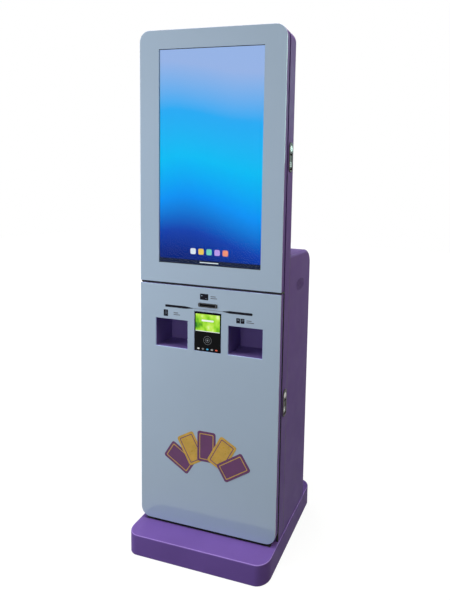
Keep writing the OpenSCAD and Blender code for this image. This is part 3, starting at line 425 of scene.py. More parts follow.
def make_base():
    edge_r = 4
    corner_r = 45
    wall = 3
    access_side = 36
    access_r = 4
    low, high = node_box("base_plinth")
    floor_low, floor_high = node_box("cabinet_floor")
    size = high - low
    floor_size = floor_high - floor_low
    shape = rounded(size.x, size.y, corner_r, steps=12)
    access = rounded(floor_size.x - 2 * access_side, floor_size.y - 2 * access_side, access_r,
                     (0, (floor_low.y + floor_high.y) / 2))
    piece = Piece("base_cover")
    outer = [piece.ring(on_top, shape, inset, level) for inset, level in raised(low.z, high.z, edge_r, 5)]
    inner = [piece.ring(on_top, shape, wall, level) for level in (high.z - wall - edge_r, low.z)]
    roof = piece.ring(on_top, shape, edge_r + wall, high.z - wall)
    opening = [piece.ring(on_top, access, 0, level) for level in (high.z, high.z - wall)]
    for step, (lower, upper) in enumerate(zip(outer, outer[1:])):
        piece.wall(highlight_edge_paint if step in HIGHLIGHT_STEPS else purple_paint, lower, upper)
    piece.cap(purple_paint, outer[-1], opening[0])
    piece.wall(purple_paint, *opening)
    piece.cap(purple_paint, roof, opening[1])
    piece.wall(purple_paint, roof, inner[0])
    piece.wall(purple_paint, *inner)
    piece.wall(purple_paint, inner[1], outer[0])
    piece.done("cabinet", ["base_plinth"])


# Glass fronts

DOOR_CORNER_R = 36
GLASS_BEVEL = 1.0
TRAY_FLANGE = 10
CUTOUT_GAP = 0.3
# How much narrower and lower the card slot's plug is than its face
BEZEL_STEP = (6, 4)


def flat_box(name, grow=0.0, radius=0.0):
    """The outline of a node seen from the front."""
    low, high = node_box(name)
    return rounded(high.x - low.x + 2 * grow, high.z - low.z + 2 * grow, radius, node_middle(name).xz)


def make_lower_glass():
    low, high = node_box("lower_door_glass")
    bezel_low, bezel_high = node_box("card_slot_bezel")
    shape = flat_box("lower_door_glass", 0, (DOOR_CORNER_R, DOOR_CORNER_R, 0, 0))
    bezel = rounded(bezel_high.x - bezel_low.x - BEZEL_STEP[0] + 2 * CUTOUT_GAP,
                    bezel_high.z - bezel_low.z - BEZEL_STEP[1] + 2 * CUTOUT_GAP, 0,
                    (0, (bezel_low.z + bezel_high.z) / 2))
    holes = [flat_box("tray_left", -TRAY_FLANGE), flat_box("tray_right", -TRAY_FLANGE),
             flat_box("terminal_face", CUTOUT_GAP), bezel]
    piece = Piece("lower_glass")
    piece.front(glass_paint, shape, plate(high.y, low.y, GLASS_BEVEL), holes, glass_edge_highlight)
    piece.done("lower_door", ["lower_door_glass"])


# The part of the display that shows through the head glass
SCREEN_W = 378
SCREEN_H = 709
SCREEN_DROP = 2
PANE_GAP = 0.05


def screen_outline(grow=0.0):
    middle = node_middle("display_panel")
    return rounded(SCREEN_W + 2 * grow, SCREEN_H + 2 * grow, 0, (middle.x, middle.z - SCREEN_DROP))


def make_head_glass():
    low, high = node_box("head_glass")
    shape = flat_box("head_glass", 0, (0, 0, DOOR_CORNER_R, DOOR_CORNER_R))
    border = Piece("head_glass_border")
    profile = plate(high.y, low.y, GLASS_BEVEL)
    window = screen_outline()
    shells = [border.ring(on_front, shape, inset, level) for inset, level in profile]
    opening = [border.ring(on_front, window, 0, level) for level in (high.y, low.y)]
    for lower, upper in zip(shells, shells[1:]):
        border.wall(glass_edge_highlight, lower, upper)
    border.wall(glass_paint, *opening)
    border.cap(glass_paint, shells[0], opening[0])
    border.cap(glass_paint, shells[-1], opening[1])
    border.done("head_door", ["head_glass"])
    pane = Piece("head_glass_pane")
    pane.front(clear_glass, screen_outline(-PANE_GAP), plate(high.y, low.y))
    pane.done("head_door")


# Display

# How far the picture's bands drift and sway, as shares of its height, and how quickly they sway
DRIFT = 0.07
SWAY = 0.035
WAVES = 9.0


def screen_colour(finish):
    """A calm blue picture: soft hills of light from pale at the top to navy at the foot."""
    low, high = node_box("display_panel")
    parts = finish.node("SeparateXYZ", {"Vector": finish.place()})
    height = finish.level(parts.outputs["Z"], 0.0, 1.0, low.z * MM, high.z * MM)
    drift = finish.level(finish.noise(1.6, 1.5, (1.2, 1, 0.7)), -DRIFT, DRIFT, 0.2, 0.8)
    swell = finish.node("Math", {0: finish.math("MULTIPLY", parts.outputs["X"], WAVES)}, operation="SINE")
    sway = finish.math("MULTIPLY", swell.outputs["Value"], SWAY)
    total = finish.math("ADD", finish.math("ADD", height, drift), sway)
    return finish.ramp(total, (0.0, srgb(10, 40, 130)), (0.1, srgb(14, 66, 178)), (0.25, srgb(0, 150, 250)),
                       (0.45, srgb(0, 194, 252)), (0.68, srgb(40, 176, 250)), (0.91, srgb(160, 186, 236)))


def tint(colour, spread=0.08):
    """A lit colour that varies a little over its surface."""
    dark, light = tones(colour, spread)
    return lambda finish: finish.ramp(finish.noise(30, 2), (0.3, dark), (0.7, light))


def lit_set(name, *colours):
    return [glow(f"{name}_{i}", tint(srgb(*colour))) for i, colour in enumerate(colours)]


screen_lit = glow("screen_picture", screen_colour)
strip_lit = glow("screen_strip", tint(srgb(30, 38, 64)))
tile_lit = lit_set("screen_tile", (236, 242, 250), (250, 206, 92), (120, 214, 190), (196, 160, 236),
                   (250, 150, 120))

# Pressed steel back of the display
BACK_STEP = 10
BACK_INSET = 6
BACK_R = 4
RIB_H = 0.8
RIB_W = 14
RIB_X = 150
RIB_SHORT = 60
GRILLE_RISE = 300
GRILLE_H = 40
GRILLE_SIDE = 6
GRILLE_R = 4
GRILLE_SLOTS = 26
SLOT_SIZE = (3, 26)
SLOT_R = 1.4
SLOT_PITCH = 8


def display_back(module, low, high, face):
    """The black frame round the picture and the steel back, with its ribs and grilles."""
    middle = (low + high) / 2
    step = low.y + BACK_STEP
    rear = high.y - RIB_H
    lining = rear + RIB_H / 4
    module.front(black_plastic, flat_box("display_panel", 0, 2), plate(step, face, 1.0))
    module.front(zinc_steel, flat_box("display_panel", -BACK_INSET, BACK_R), raised(step, rear, 1.5))
    for side in (-1, 1):
        rib = rounded(RIB_W, SCREEN_H - RIB_SHORT, RIB_W / 2, (side * RIB_X, middle.z))
        module.front(zinc_steel, rib, raised(rear, high.y, RIB_H / 2))
        grille_z = middle.z + side * GRILLE_RISE
        slots = [rounded(*SLOT_SIZE, SLOT_R, (x, grille_z), 3) for x in spread_out(GRILLE_SLOTS, SLOT_PITCH)]
        grille = rounded(GRILLE_SLOTS * SLOT_PITCH + 2 * GRILLE_SIDE, GRILLE_H, GRILLE_R, (0, grille_z))
        module.front(black_plastic, grille, plate(rear, lining))
        module.front(zinc_steel, grille, plate(lining, high.y), slots)


# The thin layers of the lit picture, and the strip, the pill and the tiles that it shows
SCREEN_LAYER = 0.12
PICTURE_SUNK = 0.6
PICTURE_IN = 1.2
STRIP_H = 15
PILL_SIZE = (70, 3)
TILE_W = 20
TILE_R = 5
TILE_PITCH = 30
TILE_RISE = 44


def display_picture(module, middle, face):
    """The picture, a strip along its foot with a pill on it, and a row of blank tiles."""
    layers = [face - level * SCREEN_LAYER for level in range(4)]
    foot = middle.z - SCREEN_DROP - SCREEN_H / 2 + PICTURE_IN
    strip_at = (middle.x, foot + STRIP_H / 2)
    strip = rounded(SCREEN_W - 2 * PICTURE_IN, STRIP_H, 0, strip_at)
    pill = rounded(*PILL_SIZE, PILL_SIZE[1] / 2, strip_at)
    module.front(screen_lit, screen_outline(-PICTURE_IN), plate(layers[0], layers[1]))
    module.front(strip_lit, strip, plate(layers[1], layers[2]))
    module.front(tile_lit[0], pill, plate(layers[2], layers[3]))
    for finish, x in zip(tile_lit, spread_out(len(tile_lit), TILE_PITCH, middle.x)):
        tile = rounded(TILE_W, TILE_W, TILE_R, (x, foot + TILE_RISE))
        module.front(finish, tile, plate(layers[1], layers[2]))


def make_display():
    low, high = node_box("display_panel")
    face = low.y + PICTURE_SUNK
    module = Piece("display_module")
    display_back(module, low, high, face)
    display_picture(module, (low + high) / 2, face)
    module.done("head_door", ["display_panel"])


# Prints on the lower glass

PRINT_T = 0.12


def printed(piece, finish, outline, holes=()):
    """A thin layer of ink on the lower glass."""
    face = node_box("lower_door_glass")[0].y
    piece.front(finish, outline, plate(face + PRINT_T / 4, face - PRINT_T), holes)


def dashes(piece, x, z, widths):
    """Plain short lines, one above the other."""
    line_h = 3.0
    pitch = 6.2
    for row, width in enumerate(widths):
        bar = rounded(width, line_h, 0, (x + width / 2, z - row * pitch))
        printed(piece, ink_grey, bar)


# Clear marks in the pictograms: place from the middle across and up, width, height and corner radius
CARD_MARKS = ((-9, 3.5, 4, 3, 1), (8.5, -6, 8, 0.9, 0))
SLIP_MARKS = tuple((0, rise, 8, 0.8, 0) for rise in (6, 2, -2))
PAIR_MARKS = tuple((0, rise, 7, 0.8, 0) for rise in (4, 1))


def pictogram(piece, middle, size, radius, marks):
    """A black tile with clear marks in it."""
    holes = [rounded(width, height, mark_r, (middle[0] + across, middle[1] + up))
             for across, up, width, height, mark_r in marks]
    printed(piece, ink, rounded(*size, radius, middle), holes)


def tapered_bars(piece, z):
    """Two pointed bars that taper towards the middle, with a thin line between them."""
    taper = ((56, 0.8), (82, 4.2), (162, 4.2))
    tip_x = 165
    line_h = 1.2
    for side in (-1, 1):
        lower = [(side * x, z - half) for x, half in taper]
        upper = [(side * x, z + half) for x, half in reversed(taper)]
        printed(piece, ink, corners(*lower, (side * tip_x, z), *upper))
    printed(piece, ink_grey, rounded(2 * taper[0][0], line_h, 0, (0, z)))


def make_prints():
    """A card over the slot, bars at its foot, a slip over the left tray and two cards over the right one."""
    card_rise = 28.5
    bar_drop = 15
    icon_rise = 20.5
    text_rise = 3
    icon_r = 1.2
    slot_z = node_middle("card_slot_bezel").z
    card_z = slot_z + card_rise
    icon_z = node_box("tray_left")[1].z - TRAY_FLANGE + icon_rise
    piece = Piece("front_prints")
    pictogram(piece, (-14, card_z), (31, 21), 2, CARD_MARKS)
    dashes(piece, 10, card_z + 3.4, (19, 24))
    tapered_bars(piece, slot_z - bar_drop)
    pictogram(piece, (-161.5, icon_z), (17, 23), icon_r, SLIP_MARKS)
    dashes(piece, -131, icon_z + text_rise, (18, 25))
    for x in (113, 128.5):
        pictogram(piece, (x, icon_z), (14, 17), icon_r, PAIR_MARKS)
    dashes(piece, 143, icon_z + text_rise, (18, 27))
    piece.done("lower_door")


# A plain motif on the lower panel: a fan of blank cards

MOTIF_Z = 272
FAN_ANGLES = (58, 29, 0, -29, -58)


def turned(outline, angle, pivot):
    """An outline turned about a point."""
    c, s = math.cos(math.radians(angle)), math.sin(math.radians(angle))

    def shape(inset=0):
        moved = [(u - pivot[0], v - pivot[1]) for u, v in outline(inset)]
        return [(pivot[0] + c * u - s * v, pivot[1] + s * u + c * v) for u, v in moved]
    return shape


def make_motif():
    card_w = 70
    card_h = 110
    card_r = 9
    line_outside = (16, 4)
    line_inside = (21.6, 3)
    reach = 122
    pivot = (0, MOTIF_Z)
    face = node_box("lower_door_glass")[0].y
    piece = Piece("panel_motif")

    def blank(angle, smaller, radius):
        """A card's outline, or a smaller one inside it, at its angle in the fan."""
        return turned(rounded(card_w - smaller, card_h - smaller, radius, (0, MOTIF_Z + reach)), angle, pivot)

    for layer, angle in enumerate(FAN_ANGLES):
        card_ink, line_ink = ((plum_ink, gold_ink), (gold_ink, plum_ink))[layer % 2]
        front = face - 2 * layer * PRINT_T - PRINT_T
        piece.front(card_ink, blank(angle, 0, card_r), plate(face + PRINT_T / 4, front))
        piece.front(line_ink, blank(angle, *line_outside), plate(front, front - PRINT_T),
                    [blank(angle, *line_inside)])
    piece.done("lower_door")


# Card slot

def make_card_slot():
    face_r = 4.5
    plug_r = 1.5
    plug_out = 0.6
    slot_size = (58, 5)
    slot_r = 1.2
    mouth_size = (60, 7.4)
    mouth_r = 2.4
    rim_h = 1.1
    rim_in = 6
    rim_rise = 1.9
    rim_sunk = 0.4
    rim_out = 0.2
    lug_size = (3, 9)
    lug_in = 5
    lug_sunk = 0.3
    lug_out = 0.4
    low, high = node_box("card_slot_bezel")
    middle = (0, (low.z + high.z) / 2)
    face = node_box("lower_door_glass")[0].y
    size = high - low
    piece = Piece("card_slot")
    piece.front(black_plastic, rounded(size.x, size.z, face_r, middle), raised(face, low.y, 1.6),
                [rounded(*mouth_size, mouth_r, middle)])
    plug = rounded(size.x - BEZEL_STEP[0], size.z - BEZEL_STEP[1], plug_r, middle)
    piece.front(black_plastic, plug, plate(high.y, face - plug_out),
                [rounded(*slot_size, slot_r, middle)])
    rim = rounded(size.x - 2 * rim_in, rim_h, 0.5, (0, low.z + rim_rise))
    piece.front(lock_grey, rim, raised(low.y + rim_sunk, low.y - rim_out, 0.3))
    for side in (-1, 1):
        lug = rounded(*lug_size, slot_r, (side * (size.x / 2 - lug_in), middle[1]))
        piece.front(grey_plastic, lug, raised(low.y + lug_sunk, low.y - lug_out, 0.3))
    piece.done("lower_door", ["card_slot_bezel"])


# Payment terminal

def terminal_colour(finish):
    """A bright green picture of soft patches."""
    patches = finish.noise(34, 2.5, (1, 1, 0.8))
    return finish.ramp(patches, (0.28, srgb(46, 124, 40)), (0.42, srgb(140, 210, 44)),
                       (0.58, srgb(190, 236, 84)), (0.74, srgb(234, 250, 190)))


terminal_lit = glow("terminal_picture", terminal_colour)
white_lit = glow("terminal_white", tint(srgb(236, 240, 236)))
ring_lit = glow("terminal_ring", tint(srgb(120, 124, 128)))
lamp_lit = lit_set("terminal_lamp", (216, 216, 214), (120, 122, 124), (70, 168, 214), (150, 152, 154),
                   (196, 92, 70))


def make_terminal():
    layer = 0.1
    side_border = 4.5
    top_border = 7
    screen_h = 60
    line_h = 2.2
    pill_size = (46, 6)
    pill_rise = 8
    ring_radii = (15, 8)
    ring_w = 0.9
    ring_rise = 40
    dot_r = 3
    lamp_size = (8, 5)
    lamp_pitch = 17
    lamp_rise = 9
    low, high = node_box("terminal_face")
    middle = (low + high) / 2
    size = high - low
    face = low.y
    piece = Piece("terminal_front")
    piece.front(black_glass, rounded(size.x, size.z, 3, (0, middle.z)), plate(high.y, face, 0.8))

    def lit(finish, outline, level=1, holes=()):
        piece.front(finish, outline, plate(face + layer, face - level * layer), holes)

    screen_w = size.x - 2 * side_border
    screen_z = high.z - top_border - screen_h / 2
    lit(terminal_lit, rounded(screen_w, screen_h, 0, (0, screen_z)))
    lit(white_lit, rounded(screen_w, line_h, 0, (0, screen_z - screen_h / 2 + line_h / 2)), 2)
    lit(white_lit, rounded(*pill_size, pill_size[1] / 2, (0, screen_z + pill_rise)), 2)
    ring_at = (0, low.z + ring_rise)
    for radius in ring_radii:
        lit(ring_lit, disc(radius, ring_at), 1, [disc(radius - ring_w, ring_at)])
    lit(ring_lit, disc(dot_r, ring_at))
    for finish, x in zip(lamp_lit, spread_out(len(lamp_lit), lamp_pitch)):
        lit(finish, rounded(*lamp_size, 2, (x, low.z + lamp_rise)))
    piece.done("lower_door", ["terminal_face"])


# Locks

KEY_RISE = 28
KEY_PLAY = 0.05
LOCK_W = 31.5
LOCK_H = 97
LOCK_FACE_T = 2.5
CUP_W = 24
CUP_H = 56
CUP_D = 14
CUP_R = 3
CUP_WALL = 1.5
CUP_DROP = 14
WELL_R = 2
BARREL_L = 16
BARREL_WALL = 3
RING_W = 2.4
RING_SUNK = 0.2
RING_RISE = 0.5


def make_locks():
    """Two oval lock faces, each with a hollow cup for its lever and a barrel for its key."""
    bezels = Piece("lock_faces")
    wall_x = node_box("column_wrap")[1].x
    for side in ("lower", "head"):
        low, high = node_box(f"{side}_lock_cylinder")
        axis = (low + high) / 2
        key = (axis.y, axis.z)
        key_r = (high.z - low.z) / 2
        middle = (axis.y, axis.z - KEY_RISE)
        cup_middle = (middle[0], middle[1] - CUP_DROP)
        cup = rounded(CUP_W, CUP_H, CUP_R, cup_middle)
        well = rounded(CUP_W - 2 * CUP_WALL, CUP_H - 2 * CUP_WALL, WELL_R, cup_middle)
        bore = disc(key_r + KEY_PLAY, key)
        face = rounded(LOCK_W, LOCK_H, LOCK_W / 2, middle)
        cup_back = wall_x - CUP_D
        face_x = wall_x + LOCK_FACE_T
        bezels.solid(lock_grey, on_side, face, raised(wall_x, face_x, 1.0), [well, bore])
        bezels.solid(lock_grey, on_side, cup, plate(cup_back, wall_x), [well])
        bezels.solid(lock_grey, on_side, well, plate(cup_back, cup_back + CUP_WALL))
        barrel = disc(key_r + BARREL_WALL, key)
        bezels.solid(lock_grey, on_side, barrel, plate(wall_x - BARREL_L, wall_x), [bore])
        ring = raised(face_x - RING_SUNK, face_x + RING_RISE, 0.4)
        bezels.solid(lock_metal, on_side, disc(key_r + RING_W, key), ring, [bore])
        make_lever(side, middle, wall_x)
        make_cylinder(side, key, key_r, low.x, high.x)
    bezels.done("cabinet", ["lock_bezels"])


def make_lever(side, middle, wall_x):
    """A grip with ridges at its foot, on a hub with its pin."""
    hub_r = 3
    pin_r = 1.5
    cheek = 1.9
    grip_back = 4.5
    grip_out = 1.5
    ridges = 4
    ridge_side = 3
    ridge_w = 2
    ridge_pitch = 4
    ridge_rise = 7
    ridge_foot = 1.2
    ridge_out = 2
    low, high = node_box(f"{side}_lock_lever")
    pivot = (wall_x - hub_r, high.z - hub_r)
    half_w = (high.y - low.y) / 2 - cheek
    grip_h = pivot[1] - low.z
    piece = Piece(f"{side}_lever_grip")
    grip = rounded(2 * half_w, grip_h, (8, 8, 2, 2), (middle[0], low.z + grip_h / 2))
    piece.solid(lock_grey, on_side, grip, plate(wall_x - grip_back, wall_x + grip_out, 1.2))
    for row in range(ridges):
        ridge = rounded(2 * (half_w - ridge_side), ridge_w, ridge_w / 2,
                        (middle[0], low.z + ridge_rise + row * ridge_pitch))
        piece.solid(lock_metal, on_side, ridge, raised(wall_x + ridge_foot, wall_x + ridge_out, 0.5))
    piece.front(lock_grey, disc(hub_r, pivot), plate(middle[0] - half_w, middle[0] + half_w, 0.4))
    piece.front(lock_metal, disc(pin_r, pivot), plate(low.y, high.y, 0.3))
    piece.done(f"{side}_lever", [f"{side}_lock_lever"])


def make_cylinder(side, key, key_r, low_x, high_x):
    keyway_w = 1.8
    keyway_d = 6
    keyway = rounded(keyway_w, key_r, 0.4, key)
    keyway_x = high_x - keyway_d
    piece = Piece(f"{side}_key_cylinder")
    piece.solid(lock_metal, on_side, disc(key_r, key), plate(low_x, keyway_x))
    piece.solid(lock_metal, on_side, disc(key_r, key), raised(keyway_x, high_x, 0.8), [keyway])
    piece.done(f"{side}_lock", [f"{side}_lock_cylinder"])


# Rear

LOUVRE_ROWS = 8
LOUVRE_PITCH = 10
HOOD_W = 82
HOOD_H = 7
HOOD_D = 5
HOOD_T = 1
HOOD_DROP = 2
INTAKE_X = 130
INTAKE_Z = 330


def hood_arc(face, foot, inset=0):
    """Half of a pressed louvre's section, from its lip to the panel."""
    steps = 6
    angles = [math.radians(90 * step / steps) for step in range(steps + 1)]
    return [(face + (HOOD_D - inset) * math.cos(a), foot + (HOOD_H - inset) * math.sin(a)) for a in angles]


def make_louvres():
    """Hoods over the panel's slots, open below, above the fan and at the two intakes."""
    face = node_box("cabinet_rear_panel")[1].y
    fan_z = node_middle("fan_frame").z
    hoods = Piece("rear_louvres")
    for x, z in ((0, fan_z), (-INTAKE_X, INTAKE_Z), (INTAKE_X, INTAKE_Z)):
        for row_z in spread_out(LOUVRE_ROWS, LOUVRE_PITCH, z):
            foot = row_z - HOOD_DROP
            outer = hood_arc(face, foot)
            sheet = corners(*outer, *reversed(hood_arc(face, foot, HOOD_T)))
            end = corners((face, foot), *outer)
            hoods.solid(purple_paint, on_side, sheet, plate(x - HOOD_W / 2, x + HOOD_W / 2))
            for side in (-1, 1):
                outside = x + side * HOOD_W / 2
                hoods.solid(purple_paint, on_side, end, plate(outside, outside + side * HOOD_T))
    hoods.done("cabinet")


def make_rear_screws():
    rows = 5
    head_r = 4
    shank_r = 2
    slot_size = (3.4, 0.9)
    panel_face = node_box("cabinet_rear_panel")[1].y
    low, high = node_box("panel_screws")
    screws = Piece("rear_screws")
    for x in (low.x + head_r, high.x - head_r):
        for row in range(rows):
            middle = (x, low.z + head_r + row * (high.z - low.z - 2 * head_r) / (rows - 1))
            screws.front(zinc_steel, disc(shank_r, middle, 16), plate(low.y, panel_face))
            screws.front(zinc_steel, disc(head_r, middle, 24), raised(panel_face, high.y, 1.2),
                         [rounded(*slot_size, 0, middle)])
    screws.done("cabinet", ["panel_screws"])


def make_fan_guard():
    wire = 1.6
    reach = 41
    arm_l = 2.7 * reach
    screw_out = 0.9 * reach
    screw_r = 3
    back = node_box("fan_frame")[0].y
    middle = node_middle("fan_frame").xz
    front = back - 2 * wire
    piece = Piece("fan_guard")
    for radius in (10, 20, 30, reach):
        piece.front(zinc_steel, disc(radius + wire / 2, middle, 40),
                    plate(back, back - wire, 0.5, 2), [disc(radius - wire / 2, middle, 40)])
    for angle in (45, 135):
        arm = turned(rounded(arm_l, 2 * wire, 0, middle), angle, middle)
        piece.front(zinc_steel, arm, plate(back - wire, front, 0.4, 1))
    piece.corner_screws(on_front, middle, middle, -screw_out, front, screw_r, -1)
    piece.done("cabinet")


def make_side_seam_shades():
    """Black lines that paint the shade in the seams where the column meets the cabinet's sides."""
    seam_shade_w = 1.8
    sunk = 0.3
    proud = 0.1
    column_low, column_high = node_box("column_wrap")
    side_low, side_high = node_box("cabinet_side_right")
    piece = Piece("side_seam_shades")
    line = rounded(seam_shade_w, side_high.z - side_low.z, 0, (column_high.y, (side_high.z + side_low.z) / 2))
    for face, way in ((column_low.x, -1), (column_high.x, 1)):
        piece.solid(black_plastic, on_side, line, plate(face - way * sunk, face + way * proud))
    piece.done("cabinet")


def make_groove_shades():
    """Black strips in the rubber finish that paint the shade in the grooves: on the column behind the lower
    door, on the base under it and between the doors.
    """
    shade_strip_w = 8
    shade_strip_t = 0.25
    sill_shade_t = 1
    sill_shade_in = 3
    gap_shade_in = 5
    gap_shade_play = 1.5
    low, high = node_box("column_wrap")
    glass_low, glass_high = node_box("lower_door_glass")
    base_top = node_box("base_plinth")[1].z
    head_foot = node_box("head_glass")[0].z
    piece = Piece("groove_shades")
    for left in (low.x, high.x - shade_strip_w):
        piece.block(rubber, (left, low.y - shade_strip_t, base_top + sill_shade_t),
                    (left + shade_strip_w, low.y, glass_high.z), 0.1)
    piece.block(rubber, (glass_low.x + DOOR_CORNER_R / 2, glass_low.y + sill_shade_in, base_top),
                (glass_high.x - DOOR_CORNER_R / 2, low.y - shade_strip_t, base_top + sill_shade_t), 0.3)
    piece.block(rubber, (low.x, glass_low.y + gap_shade_in, glass_high.z + gap_shade_play),
                (high.x, low.y, head_foot - gap_shade_play))
    piece.done("cabinet")


# Devices behind the fronts

green_lit = glow("green_lamp", tint(srgb(90, 220, 110)))


def socket(piece, x, z, width, height, face):
    """A metal-rimmed socket with a dark mouth, in a front that faces the doors."""
    rim = 0.8
    mouth = rounded(width - 2 * rim, height - 2 * rim, 0.5, (x, z))
    shell = rounded(width, height, 1, (x, z), 3)
    piece.front(zinc_steel, shell, raised(face, face - rim, 0.3, 1), [mouth])
    piece.front(black_plastic, mouth, plate(face, face - rim / 4))


# Sockets on the computer's front: place from its left edge and its button, width and height
SOCKETS = [(20 + 18 * i, -8, 14, 6.5) for i in range(4)]
SOCKETS += [(22 + 22 * i, 8, 17, 14) for i in range(2)]
SOCKETS.append((74, 8, 20, 9))


def make_computer():
    """A computer with a finned lid, and a front with sockets and the bore of its button."""
    front_t = 13
    fin_h = 10
    fin_t = 3
    fins = 16
    bore_r = 6
    lamp_x = 16
    lamp_r = 1.5
    lamp_rise = 0.5
    screw_r = 2.4
    screw_in = 7
    low, high = node_box("computer_case")
    button = node_middle("computer_button")
    middle = (low + high) / 2
    back = low.y + front_t
    piece = Piece("computer_shell")
    piece.block(dark_case, (low.x, back, low.z), (high.x, high.y, high.z - fin_h), 1.2)
    for fin in range(fins):
        x = low.x + fin * (high.x - low.x - fin_t) / (fins - 1)
        piece.block(dark_case, (x, back, high.z - fin_h), (x + fin_t, high.y, high.z))
    front = rounded(high.x - low.x, high.z - low.z, 2, middle.xz)
    piece.front(dark_case, front, plate(back, low.y, 1.0), [disc(bore_r, button.xz)])
    for across, up, width, height in SOCKETS:
        socket(piece, low.x + across, button.z + up, width, height, low.y)
    piece.lamp((button.x - lamp_x, button.z), low.y, -1, lamp_r, lamp_rise)
    piece.corner_screws(on_front, low.xz, high.xz, screw_in, low.y, screw_r, -1)
    piece.done("cabinet", ["computer_case"])


def make_supply():
    """A caged power supply with a slotted cover and a row of screw terminals."""
    rail_d = 22
    rail_h = 20
    rail_in = 4
    wall_h = 7
    wall_in = 1
    wall_half = 0.8
    cover_t = 1.5
    lining = 0.1
    cells = 9
    slot_size = (3.2, 48)
    slot_columns = 12
    slot_pitch = 8
    slot_y = 36
    screw_r = 3.6
    lamp_in = 12
    lamp_rise = 16
    low, high = node_box("power_supply")
    front = low.y + rail_d
    rail_top = low.z + rail_h
    middle = ((low.x + high.x) / 2, (front + high.y) / 2)
    cover = rounded(high.x - low.x, high.y - front, 1, middle)
    under = high.z - cover_t
    slots = []
    for x in spread_out(slot_columns, slot_pitch, middle[0]):
        slots += [rounded(*slot_size, 1.5, (x, middle[1] + side * slot_y), 3) for side in (-1, 1)]
    piece = Piece("supply_cage")
    piece.block(aluminium, (low.x, front, low.z), (high.x, high.y, under - lining))
    piece.solid(black_plastic, on_top, cover, plate(under - lining, under))
    piece.solid(aluminium, on_top, cover, raised(under, high.z, 0.5, 1), slots)
    piece.block(black_plastic, (low.x + rail_in, low.y, low.z), (high.x - rail_in, front, rail_top))
    pitch = (high.x - low.x - 2 * rail_in) / cells
    for i in range(cells + 1):
        x = low.x + rail_in + i * pitch
        piece.block(black_plastic, (x - wall_half, low.y + wall_in, rail_top),
                    (x + wall_half, front, rail_top + wall_h), 0.2)
    for i in range(cells):
        piece.screw(on_top, (low.x + rail_in + (i + 0.5) * pitch, low.y + rail_d / 2), rail_top, screw_r)
    piece.lamp((high.x - lamp_in, rail_top + lamp_rise), front, -1)
    piece.done("cabinet", ["power_supply"])


# Finish, place from the middle of the board, width, height and rise of each part on it
BOARD_PARTS = (
    (black_plastic, (-26, 6), (30, 30), 2.4),
    (black_plastic, (12, 22), (14, 22), 1.8),
    (black_plastic, (12, -8), (14, 22), 1.8),
    (black_plastic, (42, 8), (20, 20), 2.0),
    (nylon, (-42, -44), (34, 9), 6.0),
    (nylon, (2, -44), (28, 9), 6.0),
    (zinc_steel, (42, -42), (17, 13), 6.0),
    (nylon, (0, 46), (64, 7), 5.0),
    (red_plastic, (58, 38), (9, 9), 4.0),
)
BOARD_CANS = ((-58, 24), (-58, 6), (-58, -12), (62, -14), (62, -30))


def make_display_board():
    board_t = 1.6
    lift = 5
    hole_in = 6
    post_r = 3
    screw_r = 2.8
    can_r = 5
    can_h = 7
    cap_t = 0.4
    cap_in = 0.6
    sink_fins = 7
    fin_size = (1.6, 28)
    fin_pitch = 4.4
    low, high = node_box("display_board")
    middle = (low + high) / 2
    top = low.y + lift + board_t
    piece = Piece("driver_board")
    piece.front(board_green, flat_box("display_board", 0, 3), plate(low.y + lift, top))
    for x in (low.x + hole_in, high.x - hole_in):
        for z in (low.z + hole_in, high.z - hole_in):
            piece.rod(zinc_steel, (x, z), post_r, low.y, low.y + lift)
            piece.screw(on_front, (x, z), top, screw_r)
    for finish, (x, z), (width, height), rise in BOARD_PARTS:
        shape = rounded(width, height, 0.6, (middle.x + x, middle.z + z))
        piece.front(finish, shape, plate(top, top + rise, 0.4, 1))
    cap = top + can_h - cap_t
    for x, z in BOARD_CANS:
        place = (middle.x + x, middle.z + z)
        piece.rod(black_plastic, place, can_r, top, cap)
        piece.rod(aluminium, place, can_r - cap_in, cap, top + can_h, 0.2)
    chip_x, chip_z = BOARD_PARTS[0][1]
    chip_rise = BOARD_PARTS[0][3]
    for x in spread_out(sink_fins, fin_pitch, middle.x + chip_x):
        piece.front(aluminium, rounded(*fin_size, 0, (x, middle.z + chip_z)),
                    plate(top + chip_rise, top + can_h))
    piece.done("head_door", ["display_board"])


# Left, right, foot, top and depth of each plug on the back of the card reader
READER_PLUGS = ((-18, 18, 6, 16, 7), (-26, -8, 20, 28, 5))


def make_reader_cover():
    """The card reader's screwed lid, its plugs and its lamp."""
    lid_t = 1.0
    lid_side = 2
    lid_front = -100
    lid_rear = 1
    screw_in = 6
    screw_r = 2.6
    lamp_x = 16
    lamp_rise = 24
    low, high = node_box("card_reader_body")
    lid_low = (low.x + lid_side, lid_front, high.z)
    lid_high = (high.x - lid_side, high.y - lid_rear, high.z + lid_t)
    piece = Piece("reader_cover")
    piece.block(zinc_steel, lid_low, lid_high, 0.4)
    piece.corner_screws(on_top, lid_low, lid_high, screw_in, high.z + lid_t, screw_r)
    for left, right, foot, top, depth in READER_PLUGS:
        piece.block(nylon, (left, high.y, low.z + foot), (right, high.y + depth, low.z + top))
    piece.lamp((lamp_x, low.z + lamp_rise), high.y, 1)
    piece.done("lower_door")


def make_terminal_back():
    """The terminal's screwed rear cover, its blank label and its plug."""
    cover_t = 2
    cover_in = 3
    cover_r = 5
    screw_in = 8
    screw_r = 2.8
    label_size = (60, 34)
    label_t = 0.2
    label_rise = 26
    plug_half = 14
    plug_d = 7
    plug_foot = 22
    plug_top = 32
    low, high = node_box("terminal_housing")
    middle = (low + high) / 2
    rear = high.y + cover_t
    piece = Piece("terminal_back")
    piece.front(black_plastic, flat_box("terminal_housing", -cover_in, cover_r), raised(high.y, rear, 1.0))
    piece.corner_screws(on_front, low.xz, high.xz, screw_in, rear, screw_r)
    label = rounded(*label_size, 1, (middle.x, middle.z + label_rise))
    piece.front(paper_white, label, plate(rear, rear + label_t))
    piece.block(nylon, (-plug_half, rear, low.z + plug_foot), (plug_half, rear + plug_d, low.z + plug_top))
    piece.done("lower_door")


